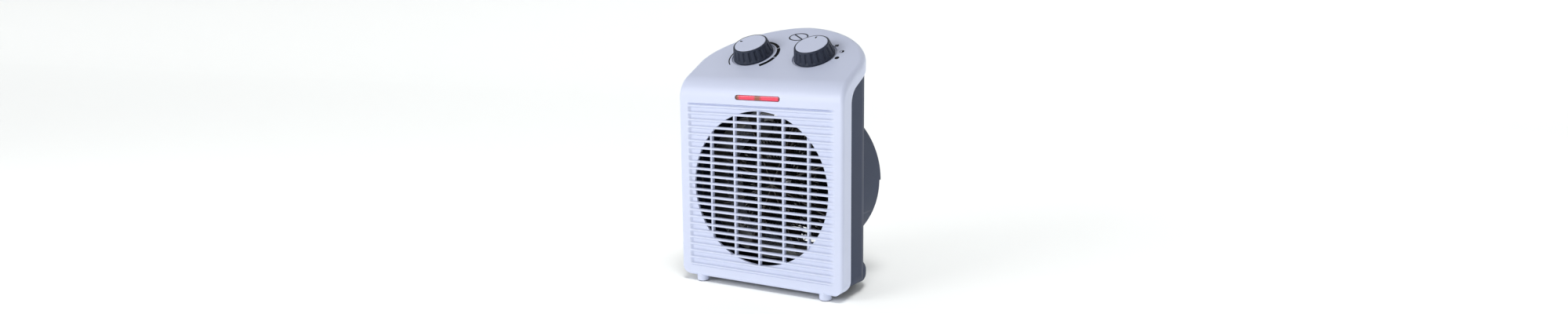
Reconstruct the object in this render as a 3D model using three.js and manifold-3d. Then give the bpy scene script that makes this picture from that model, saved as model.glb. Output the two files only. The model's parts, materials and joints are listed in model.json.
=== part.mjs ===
// Upright fan heater. A pale moulded front cover carries the grille, the indicator lens and a sloping
// panel with two knobs. A dark rear shell with a round air drum closes the back. Inside are the
// heating element in its duct, the fan and its shaded-pole motor, the two controls and the wiring.
// Millimetres, +Z up. Inside the assembly Y is 0 on the front of the grille and grows towards the back,
// and the feet end at FLOOR_Z; the exported group moves the middle of the depth to Y = 0 and the feet
// to Z = 0.
import * as THREE from "three";
import { ConvexGeometry } from "three/addons/geometries/ConvexGeometry.js";
import { mergeVertices } from "three/addons/utils/BufferGeometryUtils.js";
import Module from "manifold-3d";

const wasm = await Module();
wasm.setup();

// ---------------------------------------------------------------- driving dimensions
const WIDTH = 180;
const DEPTH = 104;
const FLOOR_Z = 1.5;
const BASE_Z = 7; // underside of the casing
const WALL = 2.2;
const GAP = 0.3; // clearance between pieces that touch on the real object
const REAR_STEP = 1.5; // the rear shell stands this far inside the front cover's outline

const PANEL_ANGLE = THREE.MathUtils.degToRad(28.2);
const PANEL_Z = 198.3; // height of the panel's plane above the front face
const BEND_RADIUS = 24; // between the front face and the panel
const STRAIGHT_DEPTH = 38.5; // the sides are straight this far back, then the outline rounds off
const OUTLINE_DEPTH = 102.2;
const OUTLINE_POWER = 1.8; // of the superellipse that closes the outline
const FRONT_EDGE_RADIUS = 3.2;
const PANEL_EDGE_RADIUS = 5.5;
const CORNER_RADIUS = 13; // lower corners, seen from the front
const LOWER_EDGE_RADIUS = 5; // between the front face and the underside

const PARTING_Y = 16.5; // where the front cover meets the rear shell
const PARTING_DROP = 13.5; // the joint runs this far below the panel's plane
const PARTING_RADIUS = 18.5;

const FIELD_HALF_WIDTH = 80; // the ribbed field around the outlet
const FIELD_BOTTOM = 17.8;
const FIELD_TOP = 179.4;
const FIELD_DEPTH = 2.5;
const FIELD_RAMP = 3.5;
const OUTLET_RADIUS = 73.8;
const AXIS_Z = 100.4; // fan, element and outlet are centred at this height
const RIB_COUNT = 24;
const RIB_PITCH = 6.85;
const RIB_TOP_Z = 176.5;
const BAR_SPACING = 26.75;
const BAR_WIDTH = 2.4;
const GRILLE_DEPTH = 3.6;

const LENS_HALF_WIDTH = 24.4;
const LENS_HALF_HEIGHT = 2.1;
const LENS_Z = 186.6;

const KNOB_X = 34.2;
const KNOB_SLOPE = 55.9; // distance of the knob axes up the panel from the front plane
const KNOB_HEIGHT = 12.5;
const KNOB_BASE_RADIUS = 20.2;
const KNOB_TOP_RADIUS = 17.2;
const CAP_RADIUS = 15.6;
const FLUTE_COUNT = 19;
const RECESS_RADIUS = 22.1;
const RECESS_DEPTH = 1.5;
const THERMOSTAT_DOT = THREE.MathUtils.degToRad(162);
const SELECTOR_DOT = THREE.MathUtils.degToRad(91);

const DRUM_RADIUS = 79; // upper half of the drum; the lower half is a little smaller
const DRUM_STEP = 1.3;
const DRUM_INNER_RADIUS = 75.6;
const DRUM_FRONT_Y = 50;
const DRUM_SIDES = 40;

const DUCT_RADIUS = 71;
const DUCT_WALL = 0.8;
const DUCT_FRONT_Y = 22;
const DUCT_BACK_Y = 52;
const COIL_Y = 36;
const COIL_TUBE = 3.2;
const COIL_RADII = { inner: 28, middle: 43, outer: 58 };

const FAN_RADIUS = 65;
const FAN_Y = 64;
const BLADE_COUNT = 7;
const BLADE_PITCH = THREE.MathUtils.degToRad(24);
const SHAFT_RADIUS = 2.4;
const BRACKET_Y = 78;
const CORE_FRONT_Y = 84;
const CORE_BACK_Y = 96;
const ROTOR_RADIUS = 13.7;

const FOOT_RADIUS = 5.8;
const FRONT_FOOT = { x: 69, y: 6.2, top: BASE_Z + 4.4 };
const REAR_FOOT = { x: 58, y: 72, top: BASE_Z + 2.5 };
const BUMPER_BULGE = 3.8; // of the round bumps at the rear lower corners
const SCREW_RADIUS = 1.4;
const PILOT_RADIUS = 1.75;
const CASE_SCREW_X = 76;
const CASE_SCREW_HEIGHTS = [28, 172];
const MOTOR_SCREW_X = 20;
const BRACKET_SCREW_X = 72.5;
const DUCT_SCREW_X = 79.5;

// ---------------------------------------------------------------- solids
const FLATNESS = 0.01;

// A closed geometry as a manifold solid, with its faces turned outwards.
function solidFrom(geometry) {
  const bare = geometry.index ? geometry.toNonIndexed() : geometry.clone();
  bare.deleteAttribute("normal");
  bare.deleteAttribute("uv");
  const merged = mergeVertices(bare, 1e-4);
  const kept = [];
  for (let i = 0; i < merged.index.count; i += 3) {
    const [a, b, c] = merged.index.array.subarray(i, i + 3);
    if (a !== b && b !== c && a !== c) kept.push(a, b, c);
  }
  const build = (triVerts) =>
    new wasm.Manifold(
      new wasm.Mesh({ numProp: 3, vertProperties: merged.attributes.position.array, triVerts }),
    );
  const made = build(new Uint32Array(kept));
  return made.volume() >= 0 ? made : build(new Uint32Array(kept.reverse()));
}

function join(...solids) {
  return solids.flat().reduce((whole, piece) => whole.add(piece));
}

function cut(solid, ...tools) {
  return tools.flat().reduce((rest, tool) => rest.subtract(tool), solid);
}

// The solid as a three.js geometry, with the splits in its flat faces taken out again.
function geometryFrom(solid) {
  const mesh = solid.asOriginal().simplify(FLATNESS).getMesh();
  const geometry = new THREE.BufferGeometry();
  geometry.setAttribute("position", new THREE.BufferAttribute(mesh.vertProperties, 3));
  geometry.setIndex(new THREE.BufferAttribute(mesh.triVerts, 1));
  geometry.computeVertexNormals();
  return geometry;
}

function box(x0, x1, y0, y1, z0, z1) {
  const geometry = new THREE.BoxGeometry(x1 - x0, y1 - y0, z1 - z0);
  geometry.translate((x0 + x1) / 2, (y0 + y1) / 2, (z0 + z1) / 2);
  return solidFrom(geometry);
}

// A rod along Y, centred on (x, z).
function rodY(radius, y0, y1, x = 0, z = AXIS_Z, sides = 20) {
  const geometry = new THREE.CylinderGeometry(radius, radius, y1 - y0, sides);
  geometry.translate(x, (y0 + y1) / 2, z);
  return solidFrom(geometry);
}

function ringY(outer, inner, y0, y1, x = 0, z = AXIS_Z, sides = 40) {
  return cut(rodY(outer, y0, y1, x, z, sides), rodY(inner, y0 - 1, y1 + 1, x, z, sides));
}

// A profile of [radius, y] points turned around the line through (x, z) along Y.
function turnedY(profile, x = 0, z = AXIS_Z, sides = 24) {
  const points = profile.map(([radius, y]) => new THREE.Vector2(radius, y));
  return solidFrom(new THREE.LatheGeometry(points, sides).translate(x, 0, z));
}

// A profile of [radius, z] points turned around the Z axis.
function turnedZ(profile, sides = 32) {
  const points = profile.map(([radius, z]) => new THREE.Vector2(radius, z));
  return solidFrom(new THREE.LatheGeometry(points, sides).rotateX(Math.PI / 2));
}

function shapeOf(points) {
  return new THREE.Shape(points.map(([a, b]) => new THREE.Vector2(a, b)));
}

function extrude(shape, depth, basis, offset, curveSegments = 5) {
  const options = { depth, bevelEnabled: false, curveSegments };
  const matrix = new THREE.Matrix4().makeBasis(...basis).setPosition(offset);
  return solidFrom(new THREE.ExtrudeGeometry(shape, options).applyMatrix4(matrix));
}

const X = new THREE.Vector3(1, 0, 0);
const Y = new THREE.Vector3(0, 1, 0);
const Z = new THREE.Vector3(0, 0, 1);

// A shape drawn in (y, z) run from x0 to x1.
function extrudeX(shape, x0, x1) {
  return extrude(shape, x1 - x0, [Y, Z, X], new THREE.Vector3(x0, 0, 0));
}

// A shape drawn in (x, z) run from y0 to y1.
function extrudeY(shape, y0, y1) {
  return extrude(shape, y1 - y0, [X, Z, Y.clone().negate()], new THREE.Vector3(0, y1, 0));
}

// A shape drawn in (x, y) run from z0 to z1.
function extrudeZ(shape, z0, z1) {
  return extrude(shape, z1 - z0, [X, Y, Z], new THREE.Vector3(0, 0, z0));
}

function stadium(halfWidth, halfHeight, centreZ) {
  const shape = new THREE.Shape();
  const flat = halfWidth - halfHeight;
  shape.absarc(flat, centreZ, halfHeight, -Math.PI / 2, Math.PI / 2);
  shape.absarc(-flat, centreZ, halfHeight, Math.PI / 2, (3 * Math.PI) / 2);
  return shape;
}

// A round wire along a smooth curve through the points.
function wireThrough(points, radius, steps) {
  const curve = new THREE.CatmullRomCurve3(points.map((p) => new THREE.Vector3(...p)));
  const section = new THREE.Shape().absarc(0, 0, radius, 0, Math.PI * 2);
  return solidFrom(
    new THREE.ExtrudeGeometry(section, { steps, extrudePath: curve, curveSegments: 3 }),
  );
}

// ---------------------------------------------------------------- casing outline
const SLOPE = Math.tan(PANEL_ANGLE);
const BEND_TURN = Math.PI / 2 - PANEL_ANGLE;
const BEND_Z = PANEL_Z - BEND_RADIUS * Math.tan(BEND_TURN / 2);
const BEND_STEPS = 5;
const OUTLINE_STEPS = 9;
const FILLET_STEPS = 3;
const PANEL_NORMAL = [-Math.sin(PANEL_ANGLE), Math.cos(PANEL_ANGLE)];

const panelHeight = (y) => PANEL_Z + y * SLOPE;

function outlineSize(inset) {
  return {
    halfWidth: WIDTH / 2 - inset,
    rearDepth: OUTLINE_DEPTH - STRAIGHT_DEPTH - inset,
  };
}

// One point of the outline's round rear part; turn runs from 0 on the side to 90 degrees at the back.
function rearPoint(turn, inset) {
  const { halfWidth, rearDepth } = outlineSize(inset);
  const across = Math.max(Math.cos(turn), 0) ** (2 / OUTLINE_POWER);
  const back = Math.sin(turn) ** (2 / OUTLINE_POWER);
  const normal = new THREE.Vector3(
    across ** (OUTLINE_POWER - 1) / halfWidth,
    back ** (OUTLINE_POWER - 1) / rearDepth,
    0,
  ).normalize();
  return { x: halfWidth * across, y: STRAIGHT_DEPTH + rearDepth * back, normal };
}

// The sharp edge between the front-and-panel sheet and the walls, from the foot of the front face up
// over the bend and along the panel to the middle of the back, on the +X side.
function sheetEdge(inset) {
  const { halfWidth } = outlineSize(inset);
  const radius = BEND_RADIUS - inset;
  const face = { x: halfWidth, y: inset, wall: X, sheet: [-1, 0], fillet: FRONT_EDGE_RADIUS };
  const edge = [{ ...face, z: BASE_Z + inset }];
  for (let step = 0; step <= BEND_STEPS; step += 1) {
    const share = step / BEND_STEPS;
    const turn = BEND_TURN * share;
    const sheet = [-Math.cos(turn), Math.sin(turn)];
    edge.push({
      x: halfWidth,
      y: BEND_RADIUS + radius * sheet[0],
      z: BEND_Z + radius * sheet[1],
      wall: X,
      sheet,
      fillet: THREE.MathUtils.lerp(FRONT_EDGE_RADIUS, PANEL_EDGE_RADIUS, share),
    });
  }
  for (let step = 0; step <= OUTLINE_STEPS; step += 1) {
    const { x, y, normal } = rearPoint((step / OUTLINE_STEPS) * (Math.PI / 2), inset);
    const z = panelHeight(y) - inset / Math.cos(PANEL_ANGLE);
    edge.push({ x, y, z, wall: normal, sheet: PANEL_NORMAL, fillet: PANEL_EDGE_RADIUS });
  }
  return edge;
}

// The round of the edge at one of its points, from the wall to the sheet.
function filletAt(point, inset) {
  const sheet = new THREE.Vector3(0, ...point.sheet);
  const radius = Math.max(point.fillet - inset, 0.8);
  const reach = radius / (1 + point.wall.dot(sheet));
  const centre = new THREE.Vector3(point.x, point.y, point.z)
    .addScaledVector(point.wall, -reach)
    .addScaledVector(sheet, -reach);
  const whole = Math.acos(point.wall.dot(sheet));
  const arc = [];
  for (let step = 0; step <= FILLET_STEPS; step += 1) {
    const share = step / FILLET_STEPS;
    const direction = new THREE.Vector3()
      .addScaledVector(point.wall, Math.sin((1 - share) * whole) / Math.sin(whole))
      .addScaledVector(sheet, Math.sin(share * whole) / Math.sin(whole));
    arc.push(centre.clone().addScaledVector(direction, radius));
  }
  return arc;
}

// The closed body that the casing's surfaces bound, drawn in by inset on every side.
function casingBody(inset) {
  const arcs = sheetEdge(inset).map((point) => filletAt(point, inset));
  const last = arcs.length - 1;
  const feet = arcs.map((arc) => arc[0].clone().setZ(BASE_Z + inset));
  const positions = [];
  const mirror = (p) => new THREE.Vector3(-p.x, p.y, p.z);
  const quad = (a, b, c, d) => {
    for (const p of [a, b, c, a, c, d]) positions.push(p.x, p.y, p.z);
  };
  const onBothSides = (a, b, c, d) => {
    quad(a, b, c, d);
    quad(mirror(d), mirror(c), mirror(b), mirror(a));
  };
  const acrossBody = (a, b) => quad(a, b, mirror(b), mirror(a));
  for (let j = 0; j < last; j += 1) {
    for (let i = 0; i < FILLET_STEPS; i += 1) {
      onBothSides(arcs[j][i], arcs[j + 1][i], arcs[j + 1][i + 1], arcs[j][i + 1]);
    }
    onBothSides(feet[j], feet[j + 1], arcs[j + 1][0], arcs[j][0]);
    acrossBody(arcs[j][FILLET_STEPS], arcs[j + 1][FILLET_STEPS]);
    acrossBody(feet[j + 1], feet[j]);
  }
  for (let i = 0; i < FILLET_STEPS; i += 1) acrossBody(arcs[0][i], arcs[0][i + 1]);
  const geometry = new THREE.BufferGeometry();
  geometry.setAttribute("position", new THREE.Float32BufferAttribute(positions, 3));
  return solidFrom(geometry).intersect(frontSilhouette(inset)).intersect(sideSilhouette(inset));
}

// The casing seen from the front, with its two round lower corners.
function frontSilhouette(inset) {
  const { halfWidth } = outlineSize(inset);
  const low = BASE_Z + inset;
  const radius = CORNER_RADIUS - inset;
  const shape = new THREE.Shape();
  shape.moveTo(halfWidth, 2 * PANEL_Z);
  shape.lineTo(-halfWidth, 2 * PANEL_Z);
  shape.absarc(-halfWidth + radius, low + radius, radius, Math.PI, 1.5 * Math.PI);
  shape.absarc(halfWidth - radius, low + radius, radius, 1.5 * Math.PI, 2 * Math.PI);
  return extrudeY(shape, -DEPTH, 2 * DEPTH);
}

// The casing seen from the side, with the round lower edge of the front face.
function sideSilhouette(inset) {
  const low = BASE_Z + inset;
  const radius = LOWER_EDGE_RADIUS - inset;
  const shape = new THREE.Shape();
  shape.moveTo(2 * DEPTH, 2 * PANEL_Z);
  shape.lineTo(inset, 2 * PANEL_Z);
  shape.absarc(inset + radius, low + radius, radius, Math.PI, 1.5 * Math.PI);
  shape.lineTo(2 * DEPTH, low);
  return extrudeX(shape, -WIDTH, WIDTH);
}

// Everything behind and below the joint between the two shells, drawn back by gap.
function behindParting(gap) {
  const y = PARTING_Y + gap;
  const radius = PARTING_RADIUS - gap;
  const drop = PARTING_DROP + gap / Math.cos(PANEL_ANGLE);
  const cornerZ = panelHeight(y) - drop;
  const tangent = radius * Math.tan(BEND_TURN / 2);
  const far = 2 * DEPTH;
  const shape = new THREE.Shape();
  shape.moveTo(far, -BASE_Z);
  shape.lineTo(y, -BASE_Z);
  shape.absarc(y + radius, cornerZ - tangent, radius, Math.PI, Math.PI - BEND_TURN, true);
  shape.lineTo(far, panelHeight(far) - drop);
  return extrudeX(shape, -WIDTH, WIDTH);
}

// The casing's plan, drawn in by inset.
function planShape(inset) {
  const { halfWidth } = outlineSize(inset);
  const right = [[halfWidth, STRAIGHT_DEPTH / 2]];
  for (let step = 0; step <= OUTLINE_STEPS; step += 1) {
    const { x, y } = rearPoint((step / OUTLINE_STEPS) * (Math.PI / 2), inset);
    right.push([x, y]);
  }
  const left = right.slice(0, -1).reverse();
  return shapeOf([...right, ...left.map(([x, y]) => [-x, y])]);
}

// ---------------------------------------------------------------- panel frame
// Places a solid drawn with +Z along the panel's normal, at the foot of a knob's axis.
function knobMatrix(side) {
  return new THREE.Matrix4()
    .makeRotationX(PANEL_ANGLE)
    .setPosition(
      side * KNOB_X,
      KNOB_SLOPE * Math.cos(PANEL_ANGLE),
      PANEL_Z + KNOB_SLOPE * Math.sin(PANEL_ANGLE),
    );
}

function onPanel(solid, side) {
  return solid.transform(knobMatrix(side).elements);
}

function disc(radius, z0, z1, sides = 24) {
  return turnedZ([[0, z0], [radius, z0], [radius, z1], [0, z1]], sides);
}

// ---------------------------------------------------------------- casing pieces
function ribHeights() {
  return Array.from({ length: RIB_COUNT }, (_, i) => RIB_TOP_Z - i * RIB_PITCH);
}

const RIB_FRONT = 0.85; // half the thickness of a rib at its front edge
const RIB_FLARE = 0.05; // growth of that half thickness with depth

function ribSection(z, depth) {
  const back = RIB_FRONT + RIB_FLARE * depth;
  return shapeOf([[0, z - RIB_FRONT], [depth, z - back], [depth, z + back], [0, z + RIB_FRONT]]);
}

// One rib: a full-length tapered blade on the field, deeper where it crosses the outlet.
function rib(z) {
  const length = FIELD_HALF_WIDTH - FIELD_RAMP / 2;
  const blade = extrudeX(ribSection(z, FIELD_DEPTH + 0.1), -length, length);
  const rise = Math.abs(z - AXIS_Z);
  if (rise > OUTLET_RADIUS) return blade;
  const half = Math.sqrt(OUTLET_RADIUS ** 2 - rise ** 2) + 1.2;
  return join(blade, extrudeX(ribSection(z, GRILLE_DEPTH), -half, half));
}

function grilleBar(x) {
  const half = Math.sqrt(OUTLET_RADIUS ** 2 - x ** 2) + 1.2;
  const w = BAR_WIDTH / 2;
  return box(x - w, x + w, 1, GRILLE_DEPTH + 1, AXIS_Z - half, AXIS_Z + half);
}

function foot(side, { x, y, top }) {
  const profile = [
    [0, FLOOR_Z],
    [FOOT_RADIUS - 0.9, FLOOR_Z],
    [FOOT_RADIUS, FLOOR_Z + 0.9],
    [FOOT_RADIUS, top],
    [0, top],
  ];
  return turnedZ(profile, 24).translate([side * x, y, 0]);
}

function frontCover() {
  let cover = cut(casingBody(0), casingBody(WALL), behindParting(0));
  const plateBack = FIELD_DEPTH + WALL;
  const plateHalf = FIELD_HALF_WIDTH + 2;
  cover = join(
    cover,
    box(-plateHalf, plateHalf, WALL - 0.1, plateBack, FIELD_BOTTOM - 2.3, FIELD_TOP + 3),
  );
  const field = shapeOf([
    [-FIELD_HALF_WIDTH, 0],
    [-FIELD_HALF_WIDTH + FIELD_RAMP, FIELD_DEPTH],
    [FIELD_HALF_WIDTH - FIELD_RAMP, FIELD_DEPTH],
    [FIELD_HALF_WIDTH, 0],
    [FIELD_HALF_WIDTH, -1],
    [-FIELD_HALF_WIDTH, -1],
  ]);
  cover = cut(
    cover,
    extrudeZ(field, FIELD_BOTTOM, FIELD_TOP),
    rodY(OUTLET_RADIUS, -1, plateBack + 1, 0, AXIS_Z, 44),
    extrudeY(stadium(LENS_HALF_WIDTH + GAP, LENS_HALF_HEIGHT + GAP, LENS_Z), -1, 4.5),
  );
  cover = join(cover, ribHeights().map(rib), [-2, -1, 0, 1, 2].map((i) => grilleBar(i * BAR_SPACING)));
  for (const side of [-1, 1]) {
    const recessFloor = onPanel(disc(RECESS_RADIUS + 2, -3.9, -1.8), side);
    cover = join(cover, foot(side, FRONT_FOOT), recessFloor);
    cover = cut(
      cover,
      onPanel(disc(RECESS_RADIUS, -RECESS_DEPTH, 6), side),
      onPanel(disc(4.2, -8, 6), side),
    );
    for (const z of CASE_SCREW_HEIGHTS) {
      const boss = rodY(5, plateBack - 0.5, PARTING_Y - 0.1, side * CASE_SCREW_X, z, 14);
      cover = join(cover, boss);
      cover = cut(cover, rodY(PILOT_RADIUS, 6, 20, side * CASE_SCREW_X, z, 10));
    }
  }
  return cover;
}

// The convex solid around all the given solids.
function wrapped(solids) {
  const points = [];
  for (const solid of solids) {
    const corners = solid.getMesh().vertProperties;
    for (let i = 0; i < corners.length; i += 3) points.push(new THREE.Vector3(...corners.slice(i, i + 3)));
  }
  return solidFrom(new ConvexGeometry(points));
}

// The round bump that the rear shell has at a lower corner.
function rearBumper(side) {
  const slabs = [
    [REAR_STEP + 5, 40, BASE_Z + 1.8, 28],
    [REAR_STEP + 0.5, 40, BASE_Z + 3.2, 28.2],
    [REAR_STEP - BUMPER_BULGE, 52, 14.5, 24],
  ].map(([inset, front, low, high]) =>
    extrudeZ(planShape(inset), low, high).intersect(box(REAR_FOOT.x, WIDTH, front, DEPTH, low, high)),
  );
  const bulge = wrapped(slabs);
  return side > 0 ? bulge : bulge.mirror([1, 0, 0]);
}

const SCREW_SEAT_Y = 50;

function caseScrewBoss(side, z) {
  return rodY(5, PARTING_Y + 0.4, DEPTH, side * CASE_SCREW_X, z, 10);
}

function caseScrewHole(side, z) {
  const x = side * CASE_SCREW_X;
  return join(
    rodY(PILOT_RADIUS, PARTING_Y - 2, SCREW_SEAT_Y + 1, x, z, 10),
    rodY(3.8, SCREW_SEAT_Y, DEPTH, x, z, 10),
  );
}

const GLAND = { x: -46, z: 26, holeRadius: 6.4 };

function rearShell() {
  const body = casingBody(REAR_STEP);
  const bosses = [-1, 1].flatMap((side) => [
    ...CASE_SCREW_HEIGHTS.map((z) => caseScrewBoss(side, z)),
    rodY(4, DUCT_BACK_Y - 6, DEPTH, side * DUCT_SCREW_X, AXIS_Z, 14),
  ]);
  let shell = cut(join(body, rearBumper(-1), rearBumper(1)), casingBody(REAR_STEP + WALL));
  shell = join(shell, join(bosses).intersect(body)).intersect(behindParting(GAP));
  shell = cut(shell, rodY(DRUM_INNER_RADIUS + 0.5, DRUM_FRONT_Y, DEPTH + 1, 0, AXIS_Z, DRUM_SIDES));
  const low = rodY(DRUM_RADIUS - DRUM_STEP, DRUM_FRONT_Y, DEPTH, 0, AXIS_Z, DRUM_SIDES);
  const high = rodY(DRUM_RADIUS, DRUM_FRONT_Y, DEPTH, 0, AXIS_Z, DRUM_SIDES).intersect(
    box(-WIDTH, WIDTH, 0, 2 * DEPTH, AXIS_Z, 2 * PANEL_Z),
  );
  const bore = rodY(DRUM_INNER_RADIUS, DRUM_FRONT_Y - 1, DEPTH + 1, 0, AXIS_Z, DRUM_SIDES);
  const bracketBosses = [-1, 1].map((side) => rodY(4.5, 80, 100.5, side * BRACKET_SCREW_X));
  shell = join(shell, cut(join(low, high), bore), bracketBosses);
  for (const side of [-1, 1]) {
    shell = join(shell, foot(side, REAR_FOOT));
    shell = cut(
      shell,
      CASE_SCREW_HEIGHTS.map((z) => caseScrewHole(side, z)),
      rodY(PILOT_RADIUS, 40, 56, side * DUCT_SCREW_X, AXIS_Z, 12),
      rodY(PILOT_RADIUS, 79, 92, side * BRACKET_SCREW_X, AXIS_Z, 12),
    );
  }
  return cut(shell, rodY(GLAND.holeRadius, 70, DEPTH, GLAND.x, GLAND.z, 20));
}

const INLET_Y = 101.2;
const INLET_RINGS = 6;
const INLET_SPOKES = 6;

// The guard in the drum's mouth: a rim, concentric rings and spokes around a solid hub.
function inletGrille() {
  const rim = DRUM_INNER_RADIUS - GAP;
  const hub = 16;
  const pitch = (rim - 3 - hub) / (INLET_RINGS + 1);
  const back = DEPTH - 0.4;
  const rings = Array.from({ length: INLET_RINGS }, (_, i) => {
    const radius = hub + (i + 1) * pitch;
    return ringY(radius + 1.3, radius - 1.3, INLET_Y, back, 0, AXIS_Z, 24);
  });
  const spokes = Array.from({ length: INLET_SPOKES / 2 }, (_, i) => {
    const bar = box(-rim + 1, rim - 1, INLET_Y, back, -1.5, 1.5);
    return bar.rotate([0, (360 / INLET_SPOKES) * i, 0]).translate([0, 0, AXIS_Z]);
  });
  return join(
    ringY(rim, rim - 3, INLET_Y, back, 0, AXIS_Z, DRUM_SIDES),
    rodY(hub, INLET_Y, back, 0, AXIS_Z, 24),
    rings,
    spokes,
  );
}

function indicatorLens() {
  const window = stadium(LENS_HALF_WIDTH, LENS_HALF_HEIGHT, LENS_Z);
  const flange = stadium(LENS_HALF_WIDTH + 2, LENS_HALF_HEIGHT + 1.2, LENS_Z);
  return join(extrudeY(window, 0.45, 5.4), extrudeY(flange, 3.6, 4.6));
}

function lampHolder() {
  const z = LENS_Z;
  const tray = box(-21, 21, 6, 14, z - 4, z + 4);
  return cut(tray, box(-19.5, 19.5, 5, 12.5, z - 2.9, z + 2.9));
}

function neonLamp(side) {
  const lamp = new THREE.CapsuleGeometry(2, 9, 4, 12).rotateZ(Math.PI / 2);
  return solidFrom(lamp.translate(side * 10.5, 9, LENS_Z));
}

function cordGland() {
  const { x, z, holeRadius } = GLAND;
  const body = holeRadius - 1.5 * GAP;
  const bore = 3.6;
  const profile = [
    [bore, 80],
    [body + 2, 80],
    [body + 2, 82],
    [body, 82],
    [body, 93],
    [bore, 93],
    [bore, 80],
  ];
  return turnedY(profile, x, z, 20);
}

// ---------------------------------------------------------------- controls
// A knob drawn with its axis on Z and the panel's surface at Z = 0.
function knobBody() {
  const low = -RECESS_DEPTH + 0.6;
  const seat = CAP_RADIUS + GAP;
  const profile = [
    [5.2, low],
    [KNOB_BASE_RADIUS - 0.5, low],
    [KNOB_BASE_RADIUS, low + 0.6],
    [KNOB_TOP_RADIUS + 0.25, KNOB_HEIGHT - 1.6],
    [KNOB_TOP_RADIUS - 0.3, KNOB_HEIGHT - 0.4],
    [seat + 0.4, KNOB_HEIGHT],
    [seat, KNOB_HEIGHT - 0.1],
    [seat, KNOB_HEIGHT - 1.5],
    [5.2, KNOB_HEIGHT - 1.5],
    [5.2, low],
  ];
  const floor = KNOB_HEIGHT - 1.6;
  let knob = join(turnedZ(profile, 2 * FLUTE_COUNT), disc(5.6, 5, floor, 16));
  const lean = Math.atan2(KNOB_BASE_RADIUS - KNOB_TOP_RADIUS, KNOB_HEIGHT);
  const groove = new THREE.CylinderGeometry(1.15, 1.15, KNOB_HEIGHT - 4.6, 6).rotateX(Math.PI / 2);
  const middle = (KNOB_BASE_RADIUS + KNOB_TOP_RADIUS) / 2 + 0.15;
  const tool = solidFrom(groove.rotateY(-lean).translate(middle, 0, KNOB_HEIGHT / 2 - 0.6));
  for (let i = 0; i < FLUTE_COUNT; i += 1) {
    knob = cut(knob, tool.rotate([0, 0, (360 / FLUTE_COUNT) * i]));
  }
  return cut(knob, disc(3.2 + GAP, low - 1, 8, 20));
}

// The pale disc on a knob, with a small half-moon mark sunk near its edge.
function knobCap(dotAngle) {
  const mark = new THREE.Shape().absarc(0, 0, 1.5, 0, Math.PI);
  const moon = extrudeZ(mark, KNOB_HEIGHT - 0.3, KNOB_HEIGHT + 1).translate([CAP_RADIUS - 3.2, 0, 0]);
  const turned = moon.rotate([0, 0, THREE.MathUtils.radToDeg(dotAngle)]);
  return cut(disc(CAP_RADIUS, KNOB_HEIGHT - 1.2, KNOB_HEIGHT, 40), turned);
}

function controlShaft() {
  return join(disc(3.2, -6, 7.7, 16), disc(5, -7, -5.2, 16));
}

const BLADE_TIP = -31; // lower end of the terminal blades, along the panel's normal
const THERMOSTAT_BLADE_X = 7;
const SWITCH_BLADE = { x: 7, y: 5 };

// The thermostat: a flat steel frame with a threaded neck and a ceramic base under it.
function thermostatBody() {
  const z = -9;
  const neck = cut(disc(7.5, z, -4.2, 20), disc(5 + GAP, z - 1, 0, 20));
  const frame = cut(box(-14, 14, -10, 10, z - 1.6, z), disc(3, z - 3, z + 1, 12));
  const base = box(-12, 12, -8, 8, z - 14, z - 1.5);
  const blades = [-THERMOSTAT_BLADE_X, THERMOSTAT_BLADE_X].map((x) =>
    box(x - 3, x + 3, -0.4, 0.4, BLADE_TIP, z - 13.8),
  );
  return join(neck, frame, base, blades);
}

function rotarySwitchBody() {
  const z = -9;
  const neck = cut(disc(7, z, -4.2, 20), disc(5 + GAP, z - 1, 0, 20));
  const housing = box(-13, 13, -13, 13, z - 15, z);
  const blades = [-1, 1].flatMap((sx) =>
    [-1, 1].map((sy) => {
      const x = sx * SWITCH_BLADE.x;
      const y = sy * SWITCH_BLADE.y;
      return box(x - 2.4, x + 2.4, y - 0.4, y + 0.4, BLADE_TIP, z - 14.8);
    }),
  );
  return join(neck, housing, blades);
}

// ---------------------------------------------------------------- heating element
const DUCT_INNER = DUCT_RADIUS - DUCT_WALL;

function heaterDuct() {
  const ears = [-1, 1].map((side) => {
    const x0 = side > 0 ? DUCT_INNER + 0.2 : -84;
    const x1 = side > 0 ? 84 : -DUCT_INNER - 0.2;
    return box(x0, x1, DUCT_BACK_Y - 8.1, DUCT_BACK_Y - 6.3, AXIS_Z - 6, AXIS_Z + 6);
  });
  const strap = box(-5, 5, DUCT_FRONT_Y - 1.2, DUCT_FRONT_Y + 0.2, AXIS_Z + 50, AXIS_Z + DUCT_RADIUS - 0.4);
  const holes = [-1, 1].map((side) => rodY(PILOT_RADIUS, 40, 50, side * DUCT_SCREW_X, AXIS_Z, 12));
  return cut(join(ringY(DUCT_RADIUS, DUCT_INNER, DUCT_FRONT_Y, DUCT_BACK_Y), ears, strap), holes);
}

function coilRing(radius, tube, tubeSides = 6, sides = 32) {
  const ring = new THREE.TorusGeometry(radius, tube, tubeSides, sides).rotateX(Math.PI / 2);
  return solidFrom(ring.translate(0, COIL_Y, AXIS_Z));
}

// Four mica boards crossing at the middle, pierced where the wire coils pass through them.
function micaFrame() {
  const reach = DUCT_INNER - 0.5;
  const board = box(-reach, reach, COIL_Y - 10, COIL_Y + 10, -0.5, 0.5);
  const boards = [0, 1, 2, 3].map((i) => board.rotate([0, 45 * i + 22.5, 0]).translate([0, 0, AXIS_Z]));
  const holes = Object.values(COIL_RADII).map((radius) => coilRing(radius, COIL_TUBE + GAP));
  return cut(join(boards), holes);
}

function thermalCutout() {
  const z = AXIS_Z + 56;
  const back = DUCT_FRONT_Y - 1.2 - GAP;
  const tabs = [-1, 1].map((side) => {
    const x = side * 9.5;
    return box(x - 3, x + 3, back - 4.6, back - 3.8, z - 2, z + 2);
  });
  return join(rodY(7.5, back - 6, back, 0, z, 20), tabs);
}

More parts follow.
